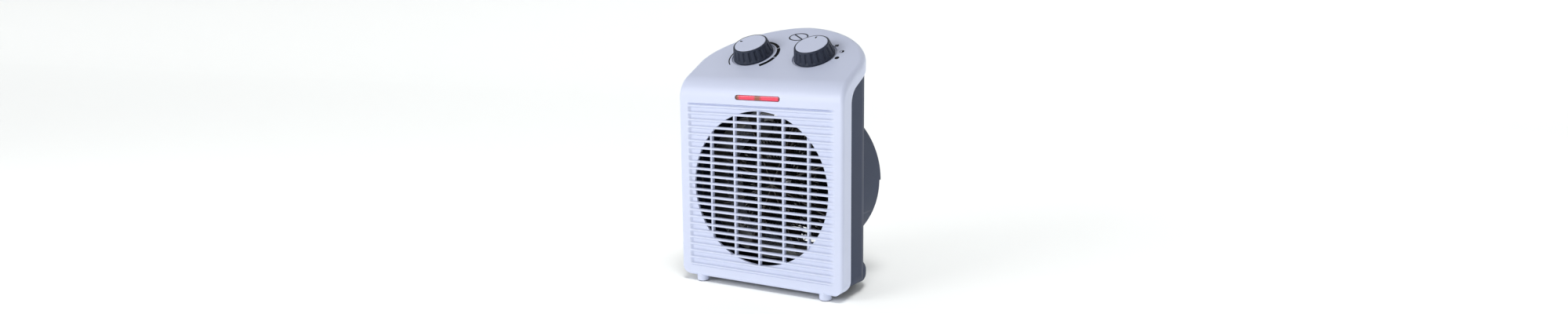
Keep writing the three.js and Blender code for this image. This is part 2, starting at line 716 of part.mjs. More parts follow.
function thermalFuse() {
  const fuse = new THREE.CapsuleGeometry(2, 9, 3, 10).rotateZ(Math.PI / 2);
  return solidFrom(fuse.translate(30, COIL_Y - 13.2, AXIS_Z - 38));
}

// ---------------------------------------------------------------- fan and motor
function fanBlade(turn) {
  const outline = new THREE.Shape();
  outline.moveTo(6, -8);
  outline.quadraticCurveTo(32, -24, FAN_RADIUS - 6, -25);
  outline.quadraticCurveTo(FAN_RADIUS + 3, 0, FAN_RADIUS - 8, 26);
  outline.quadraticCurveTo(30, 22, 6, 8);
  const options = { depth: 1.3, bevelEnabled: false, curveSegments: 5 };
  const blade = new THREE.ExtrudeGeometry(outline, options).translate(0, 0, -0.65);
  blade.rotateX(Math.PI / 2 + BLADE_PITCH).rotateY(turn);
  return solidFrom(blade.translate(0, FAN_Y, AXIS_Z));
}

function fanImpeller() {
  const hub = turnedY([
    [0, FAN_Y - 7],
    [8, FAN_Y - 7],
    [10, FAN_Y - 5],
    [10, FAN_Y + 7],
    [0, FAN_Y + 7],
  ]);
  const blades = Array.from({ length: BLADE_COUNT }, (_, i) => fanBlade((i * 2 * Math.PI) / BLADE_COUNT));
  return cut(join(hub, blades), rodY(SHAFT_RADIUS + GAP, FAN_Y - 9, FAN_Y + 9, 0, AXIS_Z, 12));
}

function fanClip() {
  return ringY(5, SHAFT_RADIUS + GAP, FAN_Y - 9.3, FAN_Y - 7.3, 0, AXIS_Z, 12);
}

function motorShaft() {
  return rodY(SHAFT_RADIUS, FAN_Y - 11, CORE_BACK_Y + 4, 0, AXIS_Z, 12);
}

function rotorCore() {
  return ringY(ROTOR_RADIUS, SHAFT_RADIUS + GAP, CORE_FRONT_Y, CORE_BACK_Y, 0, AXIS_Z, 32);
}

const LEG = { halfWidth: 28, top: -31, bottom: -41 };

// The laminated stator: a block with the rotor's bore, and a window above the leg that the coil wraps.
function statorCore() {
  const shape = shapeOf([[-28, LEG.bottom], [28, LEG.bottom], [28, 20], [-28, 20]]);
  const slot = [[-19, LEG.top], [-19, -20], [19, -20], [19, LEG.top]];
  shape.holes.push(new THREE.Path(slot.map(([x, z]) => new THREE.Vector2(x, z))));
  const core = extrudeY(shape, CORE_FRONT_Y, CORE_BACK_Y).translate([0, 0, AXIS_Z]);
  const bore = rodY(ROTOR_RADIUS + 0.6, 80, 100, 0, AXIS_Z, 32);
  return cut(core, bore, [-1, 1].map((side) => rodY(1.9, 80, 100, side * MOTOR_SCREW_X, AXIS_Z, 12)));
}

function motorWinding() {
  const front = CORE_FRONT_Y - 3.2;
  const back = CORE_BACK_Y + 3.2;
  const block = box(-16, 16, front, back, LEG.bottom - 6, -21);
  const leg = box(-30, 30, CORE_FRONT_Y - GAP, CORE_BACK_Y + GAP, LEG.bottom - GAP, LEG.top + GAP);
  return cut(block, leg).translate([0, 0, AXIS_Z]);
}

function bearingBridge(y) {
  const strap = box(-25, 25, y, y + 1.5, AXIS_Z - 5, AXIS_Z + 5);
  const cup = rodY(7, y - 0.6, y + 2.1, 0, AXIS_Z, 24);
  const screws = [-1, 1].map((side) => rodY(1.9, y - 2, y + 4, side * MOTOR_SCREW_X, AXIS_Z, 12));
  return cut(join(strap, cup), rodY(SHAFT_RADIUS + GAP, y - 2, y + 4, 0, AXIS_Z, 12), screws);
}

// A steel strap across the drum that carries the motor.
function motorBracket() {
  const plate = join(
    box(-75, 75, BRACKET_Y, BRACKET_Y + 1.5, AXIS_Z - 8, AXIS_Z + 8),
    rodY(27, BRACKET_Y, BRACKET_Y + 1.5, 0, AXIS_Z, 32),
  );
  const holes = [-1, 1].flatMap((side) => [
    rodY(PILOT_RADIUS, BRACKET_Y - 2, BRACKET_Y + 3, side * BRACKET_SCREW_X, AXIS_Z, 12),
    rodY(1.9, BRACKET_Y - 2, BRACKET_Y + 3, side * MOTOR_SCREW_X, AXIS_Z, 12),
  ]);
  return cut(plate.intersect(rodY(75, 70, 90, 0, AXIS_Z, DRUM_SIDES)), rodY(9, 70, 90), holes);
}

// ---------------------------------------------------------------- fasteners and wiring
// A pan-head screw along Y: the head stands on headY, on the side away from the tip.
function screw(x, z, headY, tipY, headRadius = 3) {
  const top = headY + Math.sign(headY - tipY) * 1.8;
  const head = rodY(headRadius, Math.min(headY, top), Math.max(headY, top), x, z, 12);
  const shank = rodY(SCREW_RADIUS, Math.min(headY, tipY), Math.max(headY, tipY), x, z, 8);
  return join(head, shank);
}

const BLOCK = { x0: -68, x1: -46, y0: 24, y1: 36, z0: 12.1, z1: 21.4 };
const BLOCK_WAYS = [-63, -57, -51];

function terminalBlock() {
  const { x0, x1, y0, y1, z0, z1 } = BLOCK;
  const middle = (z0 + z1) / 2;
  return cut(box(x0, x1, y0, y1, z0, z1), BLOCK_WAYS.map((x) => rodY(1.6, y0 - 1, y1 + 1, x, middle, 10)));
}

// The end of a wire just below a terminal blade of the control on one side of the panel.
function bladeEnd(side, x, y) {
  const end = new THREE.Vector3(x, y, BLADE_TIP - 1.7).applyMatrix4(knobMatrix(side));
  return end.toArray();
}

const WIRE_RADIUS = 1.1;
const wireTop = (way) => [BLOCK_WAYS[way], 30, BLOCK.z1 + 1.2];
const WINDING_SIDE = 17.6;
const WIRES = {
  wire_live_to_thermostat: [
    wireTop(0),
    [-70, 30, 38],
    [-82, 30, 56],
    [-84, 30, 90],
    [-84, 30, 150],
    [-83, 31, 186],
    [-66, 46, 194],
    [-46, 60, 188],
    bladeEnd(-1, -THERMOSTAT_BLADE_X, 0),
  ],
  wire_neutral_to_motor: [
    wireTop(1),
    [-57.5, 36, 36],
    [-53, 44, 47],
    [-51.8, 50, 48.6],
    [-51.8, 58, 48.6],
    [-51, 72, 49.5],
    [-46, 84, 51],
    [-32, 90, 54],
    [-WINDING_SIDE, 90, 56.5],
  ],
  wire_neutral_to_element: [
    wireTop(2),
    [-50, 22, 34],
    [-47, 16, 46],
    [-43, 17, 56],
    [-41, 29, 59.4],
  ],
  wire_thermostat_to_switch: [
    bladeEnd(-1, THERMOSTAT_BLADE_X, 0),
    [-20, 68, 188],
    [0, 70, 185],
    [18, 72, 188],
    bladeEnd(1, -SWITCH_BLADE.x, SWITCH_BLADE.y),
  ],
  wire_switch_to_element: [
    bladeEnd(1, SWITCH_BLADE.x, -SWITCH_BLADE.y),
    [44, 52, 182],
    [48, 32, 174],
    [48, 17, 158],
    [45, 16, 148],
    [42, 20, 142],
    [41, 29, 141.4],
  ],
  wire_switch_to_motor: [
    bladeEnd(1, SWITCH_BLADE.x, SWITCH_BLADE.y),
    [50, 66, 190],
    [53, 52, 182],
    [42, 42, 168],
    [37, 47, 164.2],
    [36.8, 54, 163.8],
    [36.5, 70, 163.4],
    [37, 86, 150],
    [38, 90, 110],
    [36, 92, 75],
    [28, 92, 56.5],
    [WINDING_SIDE, 92, 56.5],
  ],
  wire_lamp_to_switch: [
    [4, 14.6, LENS_Z],
    [8, 26, LENS_Z + 1],
    [20, 46, LENS_Z + 3],
    bladeEnd(1, -SWITCH_BLADE.x, -SWITCH_BLADE.y),
  ],
};

// ---------------------------------------------------------------- assembly
const FINISHES = {
  pale_plastic: { color: 0xdfe2ee, roughness: 0.45, metalness: 0 },
  slate_plastic: { color: 0x474e60, roughness: 0.55, metalness: 0 },
  knob_plastic: { color: 0x3a4152, roughness: 0.5, metalness: 0 },
  red_lens: { color: 0xe0304a, roughness: 0.2, metalness: 0 },
  lamp_glass: { color: 0xffb08a, roughness: 0.15, metalness: 0 },
  sheet_steel: { color: 0x9a9ca0, roughness: 0.4, metalness: 0.9 },
  core_steel: { color: 0x6b6e74, roughness: 0.5, metalness: 0.8 },
  bright_steel: { color: 0xc4c6ca, roughness: 0.3, metalness: 1 },
  heating_wire: { color: 0x8c8782, roughness: 0.45, metalness: 0.9 },
  mica: { color: 0xb9a888, roughness: 0.6, metalness: 0 },
  copper: { color: 0xa0552c, roughness: 0.4, metalness: 0.8 },
  black_plastic: { color: 0x17181b, roughness: 0.5, metalness: 0 },
  ceramic: { color: 0xe6e2d8, roughness: 0.5, metalness: 0 },
  wire_sleeve: { color: 0x30343c, roughness: 0.5, metalness: 0 },
  black_rubber: { color: 0x141414, roughness: 0.8, metalness: 0 },
};

function pieceMesh(name, solid, finish) {
  const mesh = new THREE.Mesh(geometryFrom(solid), new THREE.MeshStandardMaterial(FINISHES[finish]));
  mesh.name = name;
  return mesh;
}

// The pieces that turn and sit on one control's axis.
function controlGroup(side, name, dotAngle, body) {
  const group = new THREE.Group();
  group.applyMatrix4(knobMatrix(side));
  group.add(
    pieceMesh(`${name}_knob`, knobBody(), "knob_plastic"),
    pieceMesh(`${name}_knob_cap`, knobCap(dotAngle), "pale_plastic"),
    pieceMesh(`${name}_shaft`, controlShaft(), "bright_steel"),
    body,
  );
  return group;
}

function screwMeshes() {
  const made = [];
  for (const side of [-1, 1]) {
    const hand = side < 0 ? "left" : "right";
    CASE_SCREW_HEIGHTS.forEach((z, i) => {
      const level = i === 0 ? "lower" : "upper";
      made.push([`case_screw_${level}_${hand}`, screw(side * CASE_SCREW_X, z, SCREW_SEAT_Y + GAP, 8)]);
    });
    made.push(
      [`duct_screw_${hand}`, screw(side * DUCT_SCREW_X, AXIS_Z, DUCT_BACK_Y - 8.4, 54)],
      [`bracket_screw_${hand}`, screw(side * BRACKET_SCREW_X, AXIS_Z, BRACKET_Y - GAP, 90, 2.5)],
      [`motor_screw_${hand}`, screw(side * MOTOR_SCREW_X, AXIS_Z, CORE_BACK_Y + 2.8, BRACKET_Y - 1.5)],
    );
  }
  return made.map(([name, solid]) => pieceMesh(name, solid, "bright_steel"));
}

const casing = [
  pieceMesh("front_cover", frontCover(), "pale_plastic"),
  pieceMesh("rear_shell", rearShell(), "slate_plastic"),
  pieceMesh("inlet_grille", inletGrille(), "slate_plastic"),
  pieceMesh("indicator_lens", indicatorLens(), "red_lens"),
  pieceMesh("lamp_holder", lampHolder(), "ceramic"),
  pieceMesh("neon_lamp_left", neonLamp(-1), "lamp_glass"),
  pieceMesh("neon_lamp_right", neonLamp(1), "lamp_glass"),
  pieceMesh("cord_gland", cordGland(), "black_rubber"),
  pieceMesh("terminal_block", terminalBlock(), "ceramic"),
];

const element = [
  pieceMesh("heater_duct", heaterDuct(), "sheet_steel"),
  pieceMesh("mica_frame", micaFrame(), "mica"),
  ...Object.entries(COIL_RADII).map(([place, radius]) =>
    pieceMesh(`heating_coil_${place}`, coilRing(radius, COIL_TUBE), "heating_wire"),
  ),
  pieceMesh("thermal_cutout", thermalCutout(), "black_plastic"),
  pieceMesh("thermal_fuse", thermalFuse(), "bright_steel"),
];

const fanAndMotor = [
  pieceMesh("fan_impeller", fanImpeller(), "black_plastic"),
  pieceMesh("fan_clip", fanClip(), "bright_steel"),
  pieceMesh("motor_shaft", motorShaft(), "bright_steel"),
  pieceMesh("rotor_core", rotorCore(), "core_steel"),
  pieceMesh("stator_core", statorCore(), "core_steel"),
  pieceMesh("motor_winding", motorWinding(), "copper"),
  pieceMesh("front_bearing_bridge", bearingBridge(CORE_FRONT_Y - 2.8), "sheet_steel"),
  pieceMesh("rear_bearing_bridge", bearingBridge(CORE_BACK_Y + 1), "sheet_steel"),
  pieceMesh("motor_bracket", motorBracket(), "sheet_steel"),
];

const wiring = Object.entries(WIRES).map(([name, points]) =>
  pieceMesh(name, wireThrough(points, WIRE_RADIUS, 3 * points.length), "wire_sleeve"),
);

const thermostat = pieceMesh("thermostat_body", thermostatBody(), "ceramic");
const rotarySwitch = pieceMesh("rotary_switch_body", rotarySwitchBody(), "black_plastic");

const heater = new THREE.Group();
heater.position.set(0, -DEPTH / 2, -FLOOR_Z);
heater.add(...casing, ...element, ...fanAndMotor, ...screwMeshes(), ...wiring);
heater.add(controlGroup(-1, "thermostat", THERMOSTAT_DOT, thermostat));
heater.add(controlGroup(1, "selector", SELECTOR_DOT, rotarySwitch));

const model = new THREE.Group();
model.add(heater);

export default model;
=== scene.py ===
"""Looks of an upright fan heater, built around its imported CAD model.

The drawing constants are millimetres in the heater's drawing frame: X to the right, Y backwards from
the front of the grille, Z up, with the feet ending at FLOOR. placed() turns them into scene metres.
"""
import json
import math

import bmesh
import bpy
import numpy as np
from mathutils import Matrix, Vector


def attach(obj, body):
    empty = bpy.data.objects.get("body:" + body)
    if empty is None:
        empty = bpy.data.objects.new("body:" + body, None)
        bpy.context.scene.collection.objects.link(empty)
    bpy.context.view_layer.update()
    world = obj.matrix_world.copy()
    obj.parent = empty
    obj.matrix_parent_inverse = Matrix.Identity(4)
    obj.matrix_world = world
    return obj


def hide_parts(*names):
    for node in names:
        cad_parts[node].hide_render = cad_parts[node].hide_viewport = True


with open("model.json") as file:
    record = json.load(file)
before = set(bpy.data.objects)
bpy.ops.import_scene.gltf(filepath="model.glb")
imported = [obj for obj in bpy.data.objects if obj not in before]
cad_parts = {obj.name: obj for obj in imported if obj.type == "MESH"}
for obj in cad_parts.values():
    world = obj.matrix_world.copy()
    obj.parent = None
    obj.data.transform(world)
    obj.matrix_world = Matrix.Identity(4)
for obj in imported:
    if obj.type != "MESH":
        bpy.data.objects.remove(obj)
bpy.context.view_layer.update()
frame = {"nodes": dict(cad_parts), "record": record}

MM = 0.001

# ---------------------------------------------------------------- driving dimensions, mm
WIDTH, DEPTH = 180.0, 104.0
FLOOR, BASE = 1.5, 7.0  # heights of the feet's ends and of the casing's underside
WALL, GAP = 2.2, 0.3
REAR_STEP = 1.5  # the rear shell stands this far inside the front cover's outline
PANEL_ANGLE = math.radians(28.2)
PANEL_Z = 198.3  # height of the panel's plane above the front face
BEND_RADIUS = 24.0  # between the front face and the panel
STRAIGHT_DEPTH, OUTLINE_DEPTH = 38.5, 102.2  # straight sides, then a superellipse to the back
OUTLINE_POWER = 1.8
FRONT_EDGE_RADIUS, PANEL_EDGE_RADIUS = 3.2, 5.5
CORNER_RADIUS, LOWER_EDGE_RADIUS = 13.0, 5.0
PARTING_Y, PARTING_DROP, PARTING_RADIUS = 16.5, 13.5, 18.5  # where the two shells meet
BEYOND = 400.0  # clear of the whole casing

FIELD_HALF_WIDTH, FIELD_BOTTOM, FIELD_TOP = 80.0, 17.8, 179.4
FIELD_DEPTH, PLATE_BACK = 2.4, 4.7
FIELD_RAMP = 3.5  # at the field's left end
FIELD_RIGHT, SOFT_RAMP = 82.5, 8.5  # the right end runs out further and more gently
FIELD_RIM = 0.9  # the rounds along the field's top and bottom
OUTLET_RADIUS, AXIS_Z = 73.8, 100.4
RIB_COUNT, RIB_PITCH, RIB_TOP_Z = 24, 6.85, 176.5
RIB_NOSE, RIB_FLARE = 1.18, 0.02  # radius of a rib's front, and its growth with depth
RIB_DRAFT = 0.16  # of the flanks of the ribs on the field
RIB_ROOT = (0.15, 0.75, 0.82)  # the fillet at a rib's foot: start and end beyond the nose, height
BAR_SPACING, BAR_HALF_WIDTH, BAR_FRONT_Y, GRILLE_DEPTH = 26.75, 1.2, 0.75, 3.6

LENS_HALF_WIDTH, LENS_HALF_HEIGHT, LENS_Z = 24.4, 2.1, 186.6

KNOB_X, KNOB_SLOPE, KNOB_HEIGHT = 34.2, 55.9, 12.5
KNOB_BASE_RADIUS, KNOB_TOP_RADIUS, KNOB_SHOULDER = 20.2, 17.45, 1.2
KNOB_CLEARANCE = 0.6  # between the skirt and the floor of its recess
CAP_RADIUS, CAP_SEAT_RADIUS = 15.6, 15.72
FLUTE_COUNT, FLUTE_DEPTH, STEPS_PER_FLUTE = 19, 1.35, 18
POINTER_INSET, POINTER_RADIUS = 3.2, 1.8
RECESS_RADIUS, RECESS_DEPTH, SHAFT_HOLE_RADIUS = 22.1, 1.5, 4.2
RECESS_BACKING = (-3.9, -1.2)  # the disc behind a recess's floor, as heights above the panel
THERMOSTAT_DOT, SELECTOR_DOT = math.radians(162), math.radians(91)

DRUM_RADIUS, DRUM_STEP, DRUM_BORE, DRUM_FRONT_Y = 79.0, 1.3, 75.6, 50.0
BUMPER_TURN = (6, 50)  # degrees along the plan's round part: where a rear bump starts, how far it goes
CASE_SCREW_X, CASE_SCREW_HEIGHTS = 76.0, (28.0, 172.0)
BOSS_RADIUS, PILOT_RADIUS, WELL_RADIUS, WELL_FRONT_Y = 5.0, 1.75, 3.8, 50.0
POST_X, POST_RADIUS, POST_FRONT_Y, POST_BACK_Y = 72.5, 4.5, 80.0, 100.5  # the motor bracket's posts
GLAND_X, GLAND_Z, GLAND_HOLE_RADIUS = -46.0, 26.0, 6.4
INLET_Y, INLET_BACK = 101.2, 103.6
INLET_HUB_RADIUS, INLET_RINGS, INLET_SPOKES = 16.0, 6, 6
INLET_RIM_HALF_WIDTH, INLET_RING_HALF_WIDTH, SPOKE_HALF_WIDTH = 1.5, 1.3, 1.5
COIL_Y, COIL_RADII = 36.0, (28.0, 43.0, 58.0)
HELIX_RADIUS, HELIX_PITCH, COIL_WIRE_RADIUS = 2.75, 3.6, 0.42
FOOT_RADIUS, FOOT_EDGE, FOOT_FLARE = 5.8, 1.5, 0.4
PAD_RADIUS, PAD_HEIGHT = 4.7, 0.5
FRONT_FOOT, REAR_FOOT = (69.0, 6.2), (58.0, 72.0)

# Printed marks, with their places on the panel as (across, up the slope).
SCALE_CENTRE, SCALE_RADIUS = (-32.1, 53.9), 26.3
SCALE_START, SCALE_SWEEP, SCALE_BREAKS = -133.0, -277.0, (35.0, -7.0)  # degrees
FAN_MARK, HALF_MARK, FULL_MARK, SIGN_MARK = (49.6, 74.6), (59.8, 64.0), (59.7, 52.5), (0.0, 90.0)
DOT_RADIUS, INK_HEIGHT = 2.3, 0.05

SLOPE = math.tan(PANEL_ANGLE)
BEND_TURN = math.pi / 2 - PANEL_ANGLE
BEND_Z = PANEL_Z - BEND_RADIUS * math.tan(BEND_TURN / 2)

scratch = []


# ---------------------------------------------------------------- mesh helpers
def placed(point):
    """A drawing point in scene metres."""
    x, y, z = point
    return (x * MM, (y - DEPTH / 2) * MM, (z - FLOOR) * MM)


def mesh_from(name, points, faces):
    """A mesh of drawing points with doubles merged and its faces turned outwards."""
    mesh = bpy.data.meshes.new(name)
    mesh.from_pydata([placed(p) for p in points], [], faces)
    bm = bmesh.new()
    bm.from_mesh(mesh)
    bmesh.ops.remove_doubles(bm, verts=bm.verts, dist=2e-6)
    bmesh.ops.recalc_face_normals(bm, faces=bm.faces)
    bm.to_mesh(mesh)
    bm.free()
    return mesh


def solid(points, faces):
    """A scratch object for boolean work."""
    obj = bpy.data.objects.new("scratch", mesh_from("scratch", points, faces))
    bpy.context.scene.collection.objects.link(obj)
    scratch.append(obj)
    return obj


def baked(obj):
    """Applies the object's modifiers to its mesh."""
    depsgraph = bpy.context.evaluated_depsgraph_get()
    mesh = bpy.data.meshes.new_from_object(obj.evaluated_get(depsgraph))
    obj.modifiers.clear()
    obj.data = mesh
    return obj


def combined(obj, operation, *others):
    """Runs one boolean operation on obj with each of the others in turn."""
    for other in others:
        modifier = obj.modifiers.new("combine", "BOOLEAN")
        modifier.operation = operation
        modifier.solver = "MANIFOLD"
        modifier.object = other
        baked(obj)
    return obj


def cut(obj, *tools):
    """Takes the tools away from obj."""
    return combined(obj, "DIFFERENCE", *tools)


def join(obj, *others):
    return combined(obj, "UNION", *others)


def keep(obj, *regions):
    """Leaves only what lies inside every region."""
    return combined(obj, "INTERSECT", *regions)


def rounded(obj, width, segments, angle):
    """Rounds the edges that turn by more than the angle."""
    modifier = obj.modifiers.new("round", "BEVEL")
    modifier.width = width * MM
    modifier.segments = segments
    modifier.limit_method = "ANGLE"
    modifier.angle_limit = math.radians(angle)
    modifier.use_clamp_overlap = True
    return baked(obj)


def piece(name, meshes, material, body, replaces=(), smooth=35):
    """One visible piece made of the given meshes or scratch objects; smooth is in degrees."""
    bm = bmesh.new()
    for source in meshes:
        bm.from_mesh(source.data if isinstance(source, bpy.types.Object) else source)
    mesh = bpy.data.meshes.new(name)
    bm.to_mesh(mesh)
    bm.free()
    mesh.shade_smooth()
    mesh.set_sharp_from_angle(angle=math.radians(smooth))
    obj = bpy.data.objects.new(name, mesh)
    bpy.context.scene.collection.objects.link(obj)
    mesh.materials.append(material)
    shading = obj.modifiers.new("shading", "WEIGHTED_NORMAL")
    shading.keep_sharp = True
    baked(obj)
    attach(obj, body)
    if replaces:
        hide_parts(*replaces)
    return obj


def grid_faces(rows, columns, close_columns=False):
    """Quads between the points of a grid, numbered row by row."""
    faces = []
    last = columns if close_columns else columns - 1
    for i in range(rows - 1):
        for j in range(last):
            k = (j + 1) % columns
            low, high = i * columns, (i + 1) * columns
            faces.append((low + j, low + k, high + k, high + j))
    return faces


def turned(profile, origin, axis, sides=64):
    """(points, faces) of a closed [radius, height] profile turned around an axis through origin."""
    axis = Vector(axis).normalized()
    side = axis.orthogonal().normalized()
    other = axis.cross(side)
    origin = Vector(origin)
    points = []
    for radius, height in profile:
        for k in range(sides):
            turn = 2 * math.pi * k / sides
            around = side * math.cos(turn) + other * math.sin(turn)
            points.append(origin + axis * height + around * radius)
    faces = grid_faces(len(profile), sides, close_columns=True)
    top = (len(profile) - 1) * sides
    if profile[0] == profile[-1]:
        return points, faces
    faces.append(tuple(range(sides)))
    faces.append(tuple(range(top, top + sides)))
    return points, faces


def rod_y(radius, y0, y1, x=0.0, z=AXIS_Z, sides=96):
    return solid(*turned([(radius, y0), (radius, y1)], (x, 0, z), (0, 1, 0), sides))


def extruded(outline, place, low, high):
    """(points, faces) of an outline run from low to high; place(a, b, h) gives the drawing point."""
    n = len(outline)
    points = [place(a, b, low) for a, b in outline] + [place(a, b, high) for a, b in outline]
    faces = [(i, (i + 1) % n, n + (i + 1) % n, n + i) for i in range(n)]
    faces += [tuple(range(n)), tuple(range(n, 2 * n))]
    return points, faces


def along_x(a, b, h):
    return (h, a, b)


def along_y(a, b, h):
    return (a, h, b)


def along_z(a, b, h):
    return (a, b, h)


def box(x0, x1, y0, y1, z0, z1):
    """A scratch box between two corners."""
    return solid(*extruded([(x0, z0), (x1, z0), (x1, z1), (x0, z1)], along_y, y0, y1))


def arc(cx, cy, radius, start, end, steps):
    return [
        (cx + radius * math.cos(start + (end - start) * k / steps),
         cy + radius * math.sin(start + (end - start) * k / steps))
        for k in range(steps + 1)
    ]


def stadium(half_width, half_height, z, steps=14):
    flat = half_width - half_height
    return (arc(flat, z, half_height, -math.pi / 2, math.pi / 2, steps)
            + arc(-flat, z, half_height, math.pi / 2, 1.5 * math.pi, steps))


# ---------------------------------------------------------------- casing outline
def panel_height(y):
    return PANEL_Z + y * SLOPE


def rear_point(turn, inset):
    """A point of the plan's round rear part and its outward normal."""
    half_width = WIDTH / 2 - inset
    rear_depth = OUTLINE_DEPTH - STRAIGHT_DEPTH - inset
    across = max(math.cos(turn), 0.0) ** (2 / OUTLINE_POWER)
    back = math.sin(turn) ** (2 / OUTLINE_POWER)
    power = OUTLINE_POWER - 1
    normal = Vector((across ** power / half_width, back ** power / rear_depth, 0))
    return half_width * across, STRAIGHT_DEPTH + rear_depth * back, normal.normalized()


def sheet_edge(inset, bend_steps, outline_steps):
    """The sharp edge between the front-and-panel sheet and the walls, as (point, wall, sheet, fillet)."""
    half_width = WIDTH / 2 - inset
    radius = BEND_RADIUS - inset
    wall = Vector((1, 0, 0))
    edge = [(Vector((half_width, inset, BASE + inset)), wall, Vector((0, -1, 0)), FRONT_EDGE_RADIUS)]
    for k in range(bend_steps + 1):
        share = k / bend_steps
        turn = BEND_TURN * share
        sheet = Vector((0, -math.cos(turn), math.sin(turn)))
        point = Vector((half_width, BEND_RADIUS + radius * sheet.y, BEND_Z + radius * sheet.z))
        fillet = FRONT_EDGE_RADIUS + (PANEL_EDGE_RADIUS - FRONT_EDGE_RADIUS) * share
        edge.append((point, wall, sheet, fillet))
    sheet = Vector((0, -math.sin(PANEL_ANGLE), math.cos(PANEL_ANGLE)))
    for k in range(outline_steps + 1):
        x, y, normal = rear_point(k / outline_steps * math.pi / 2, inset)
        z = panel_height(y) - inset / math.cos(PANEL_ANGLE)
        edge.append((Vector((x, y, z)), normal, sheet, PANEL_EDGE_RADIUS))
    return edge


def fillet_arc(point, wall, sheet, fillet, inset, steps):
    """The round of the edge at one of its points, from the wall to the sheet."""
    least = 0.8
    radius = max(fillet - inset, least)
    centre = point - (wall + sheet) * (radius / (1 + wall.dot(sheet)))
    whole = math.acos(max(-1.0, min(1.0, wall.dot(sheet))))
    points = []
    for k in range(steps + 1):
        share = k / steps
        ray = (wall * math.sin((1 - share) * whole) + sheet * math.sin(share * whole)) / math.sin(whole)
        points.append(centre + ray * radius)
    return points


def casing_body(inset, bend_steps=18, outline_steps=44, fillet_steps=7):
    """The closed body that the casing's surfaces bound, drawn in by inset on every side."""
    edge = sheet_edge(inset, bend_steps, outline_steps)
    arcs = [fillet_arc(*place, inset, fillet_steps) for place in edge]
    points, faces = [], []

    def quad(*corners):
        start = len(points)
        points.extend(corners)
        faces.append(tuple(range(start, start + 4)))

    def mirrored(p):
        return Vector((-p.x, p.y, p.z))

    def at_base(p):
        return Vector((p.x, p.y, BASE + inset))

    for a, b in zip(arcs, arcs[1:]):
        for i in range(fillet_steps):
            quad(a[i], b[i], b[i + 1], a[i + 1])
            quad(*(mirrored(p) for p in (a[i + 1], b[i + 1], b[i], a[i])))
        quad(at_base(a[0]), at_base(b[0]), b[0], a[0])
        quad(*(mirrored(p) for p in (a[0], b[0], at_base(b[0]), at_base(a[0]))))
        quad(a[-1], b[-1], mirrored(b[-1]), mirrored(a[-1]))
        quad(at_base(b[0]), at_base(a[0]), mirrored(at_base(a[0])), mirrored(at_base(b[0])))
    for low, high in zip(arcs[0], arcs[0][1:]):
        quad(low, high, mirrored(high), mirrored(low))
    return keep(solid(points, faces), front_silhouette(inset), side_silhouette(inset))


def round_bottomed(half_width, low, radius, steps=14):
    """A tall solid along Y with two round lower corners."""
    outline = [(half_width, BEYOND), (-half_width, BEYOND)]
    outline += arc(-half_width + radius, low + radius, radius, math.pi, 1.5 * math.pi, steps)
    outline += arc(half_width - radius, low + radius, radius, 1.5 * math.pi, 2 * math.pi, steps)
    return solid(*extruded(outline, along_y, -DEPTH, 2 * DEPTH))


def front_silhouette(inset):
    """The casing seen from the front."""
    return round_bottomed(WIDTH / 2 - inset, BASE + inset, CORNER_RADIUS - inset)


def side_silhouette(inset, steps=8):
    """The casing seen from the side, with the round lower edge of the front face."""
    low, radius = BASE + inset, LOWER_EDGE_RADIUS - inset
    outline = [(2 * DEPTH, BEYOND), (inset, BEYOND)]
    outline += arc(inset + radius, low + radius, radius, math.pi, 1.5 * math.pi, steps)
    outline.append((2 * DEPTH, low))
    return solid(*extruded(outline, along_x, -WIDTH, WIDTH))


def behind_parting(gap):
    """Everything behind and below the joint between the two shells."""
    y, radius = PARTING_Y + gap, PARTING_RADIUS - gap
    drop = PARTING_DROP + gap / math.cos(PANEL_ANGLE)
    tangent = radius * math.tan(BEND_TURN / 2)
    far = 2 * DEPTH
    outline = [(far, -BASE), (y, -BASE)]
    bend_z = panel_height(y) - drop - tangent
    outline += arc(y + radius, bend_z, radius, math.pi, math.pi - BEND_TURN, 16)
    outline.append((far, panel_height(far) - drop))
    return solid(*extruded(outline, along_x, -WIDTH, WIDTH))


# ---------------------------------------------------------------- panel frame
PANEL_U = Vector((1, 0, 0))
PANEL_V = Vector((0, math.cos(PANEL_ANGLE), math.sin(PANEL_ANGLE)))
PANEL_N = Vector((0, -math.sin(PANEL_ANGLE), math.cos(PANEL_ANGLE)))


def on_panel(x, slope, height):
    """A point of the panel: across, up the slope, and above its surface."""
    return Vector((0, 0, PANEL_Z)) + PANEL_U * x + PANEL_V * slope + PANEL_N * height


def panel_disc(side, radius, low, high, sides=96):
    """A disc around one knob's axis, between two heights above the panel."""
    origin = on_panel(side * KNOB_X, KNOB_SLOPE, 0)
    return solid(*turned([(radius, low), (radius, high)], origin, PANEL_N, sides))


# ---------------------------------------------------------------- materials
def shader(name, color, roughness, metallic=0.0, coat=0.0, specular=0.5):
    """A new material as (material, nodes, links, principled)."""
    material = bpy.data.materials.new(name)
    material.use_nodes = True
    nodes, links = material.node_tree.nodes, material.node_tree.links
    principled = nodes["Principled BSDF"]
    principled.inputs["Base Color"].default_value = (*color, 1)
    principled.inputs["Roughness"].default_value = roughness
    principled.inputs["Metallic"].default_value = metallic
    principled.inputs["Coat Weight"].default_value = coat
    principled.inputs["Specular IOR Level"].default_value = specular
    return material, nodes, links, principled


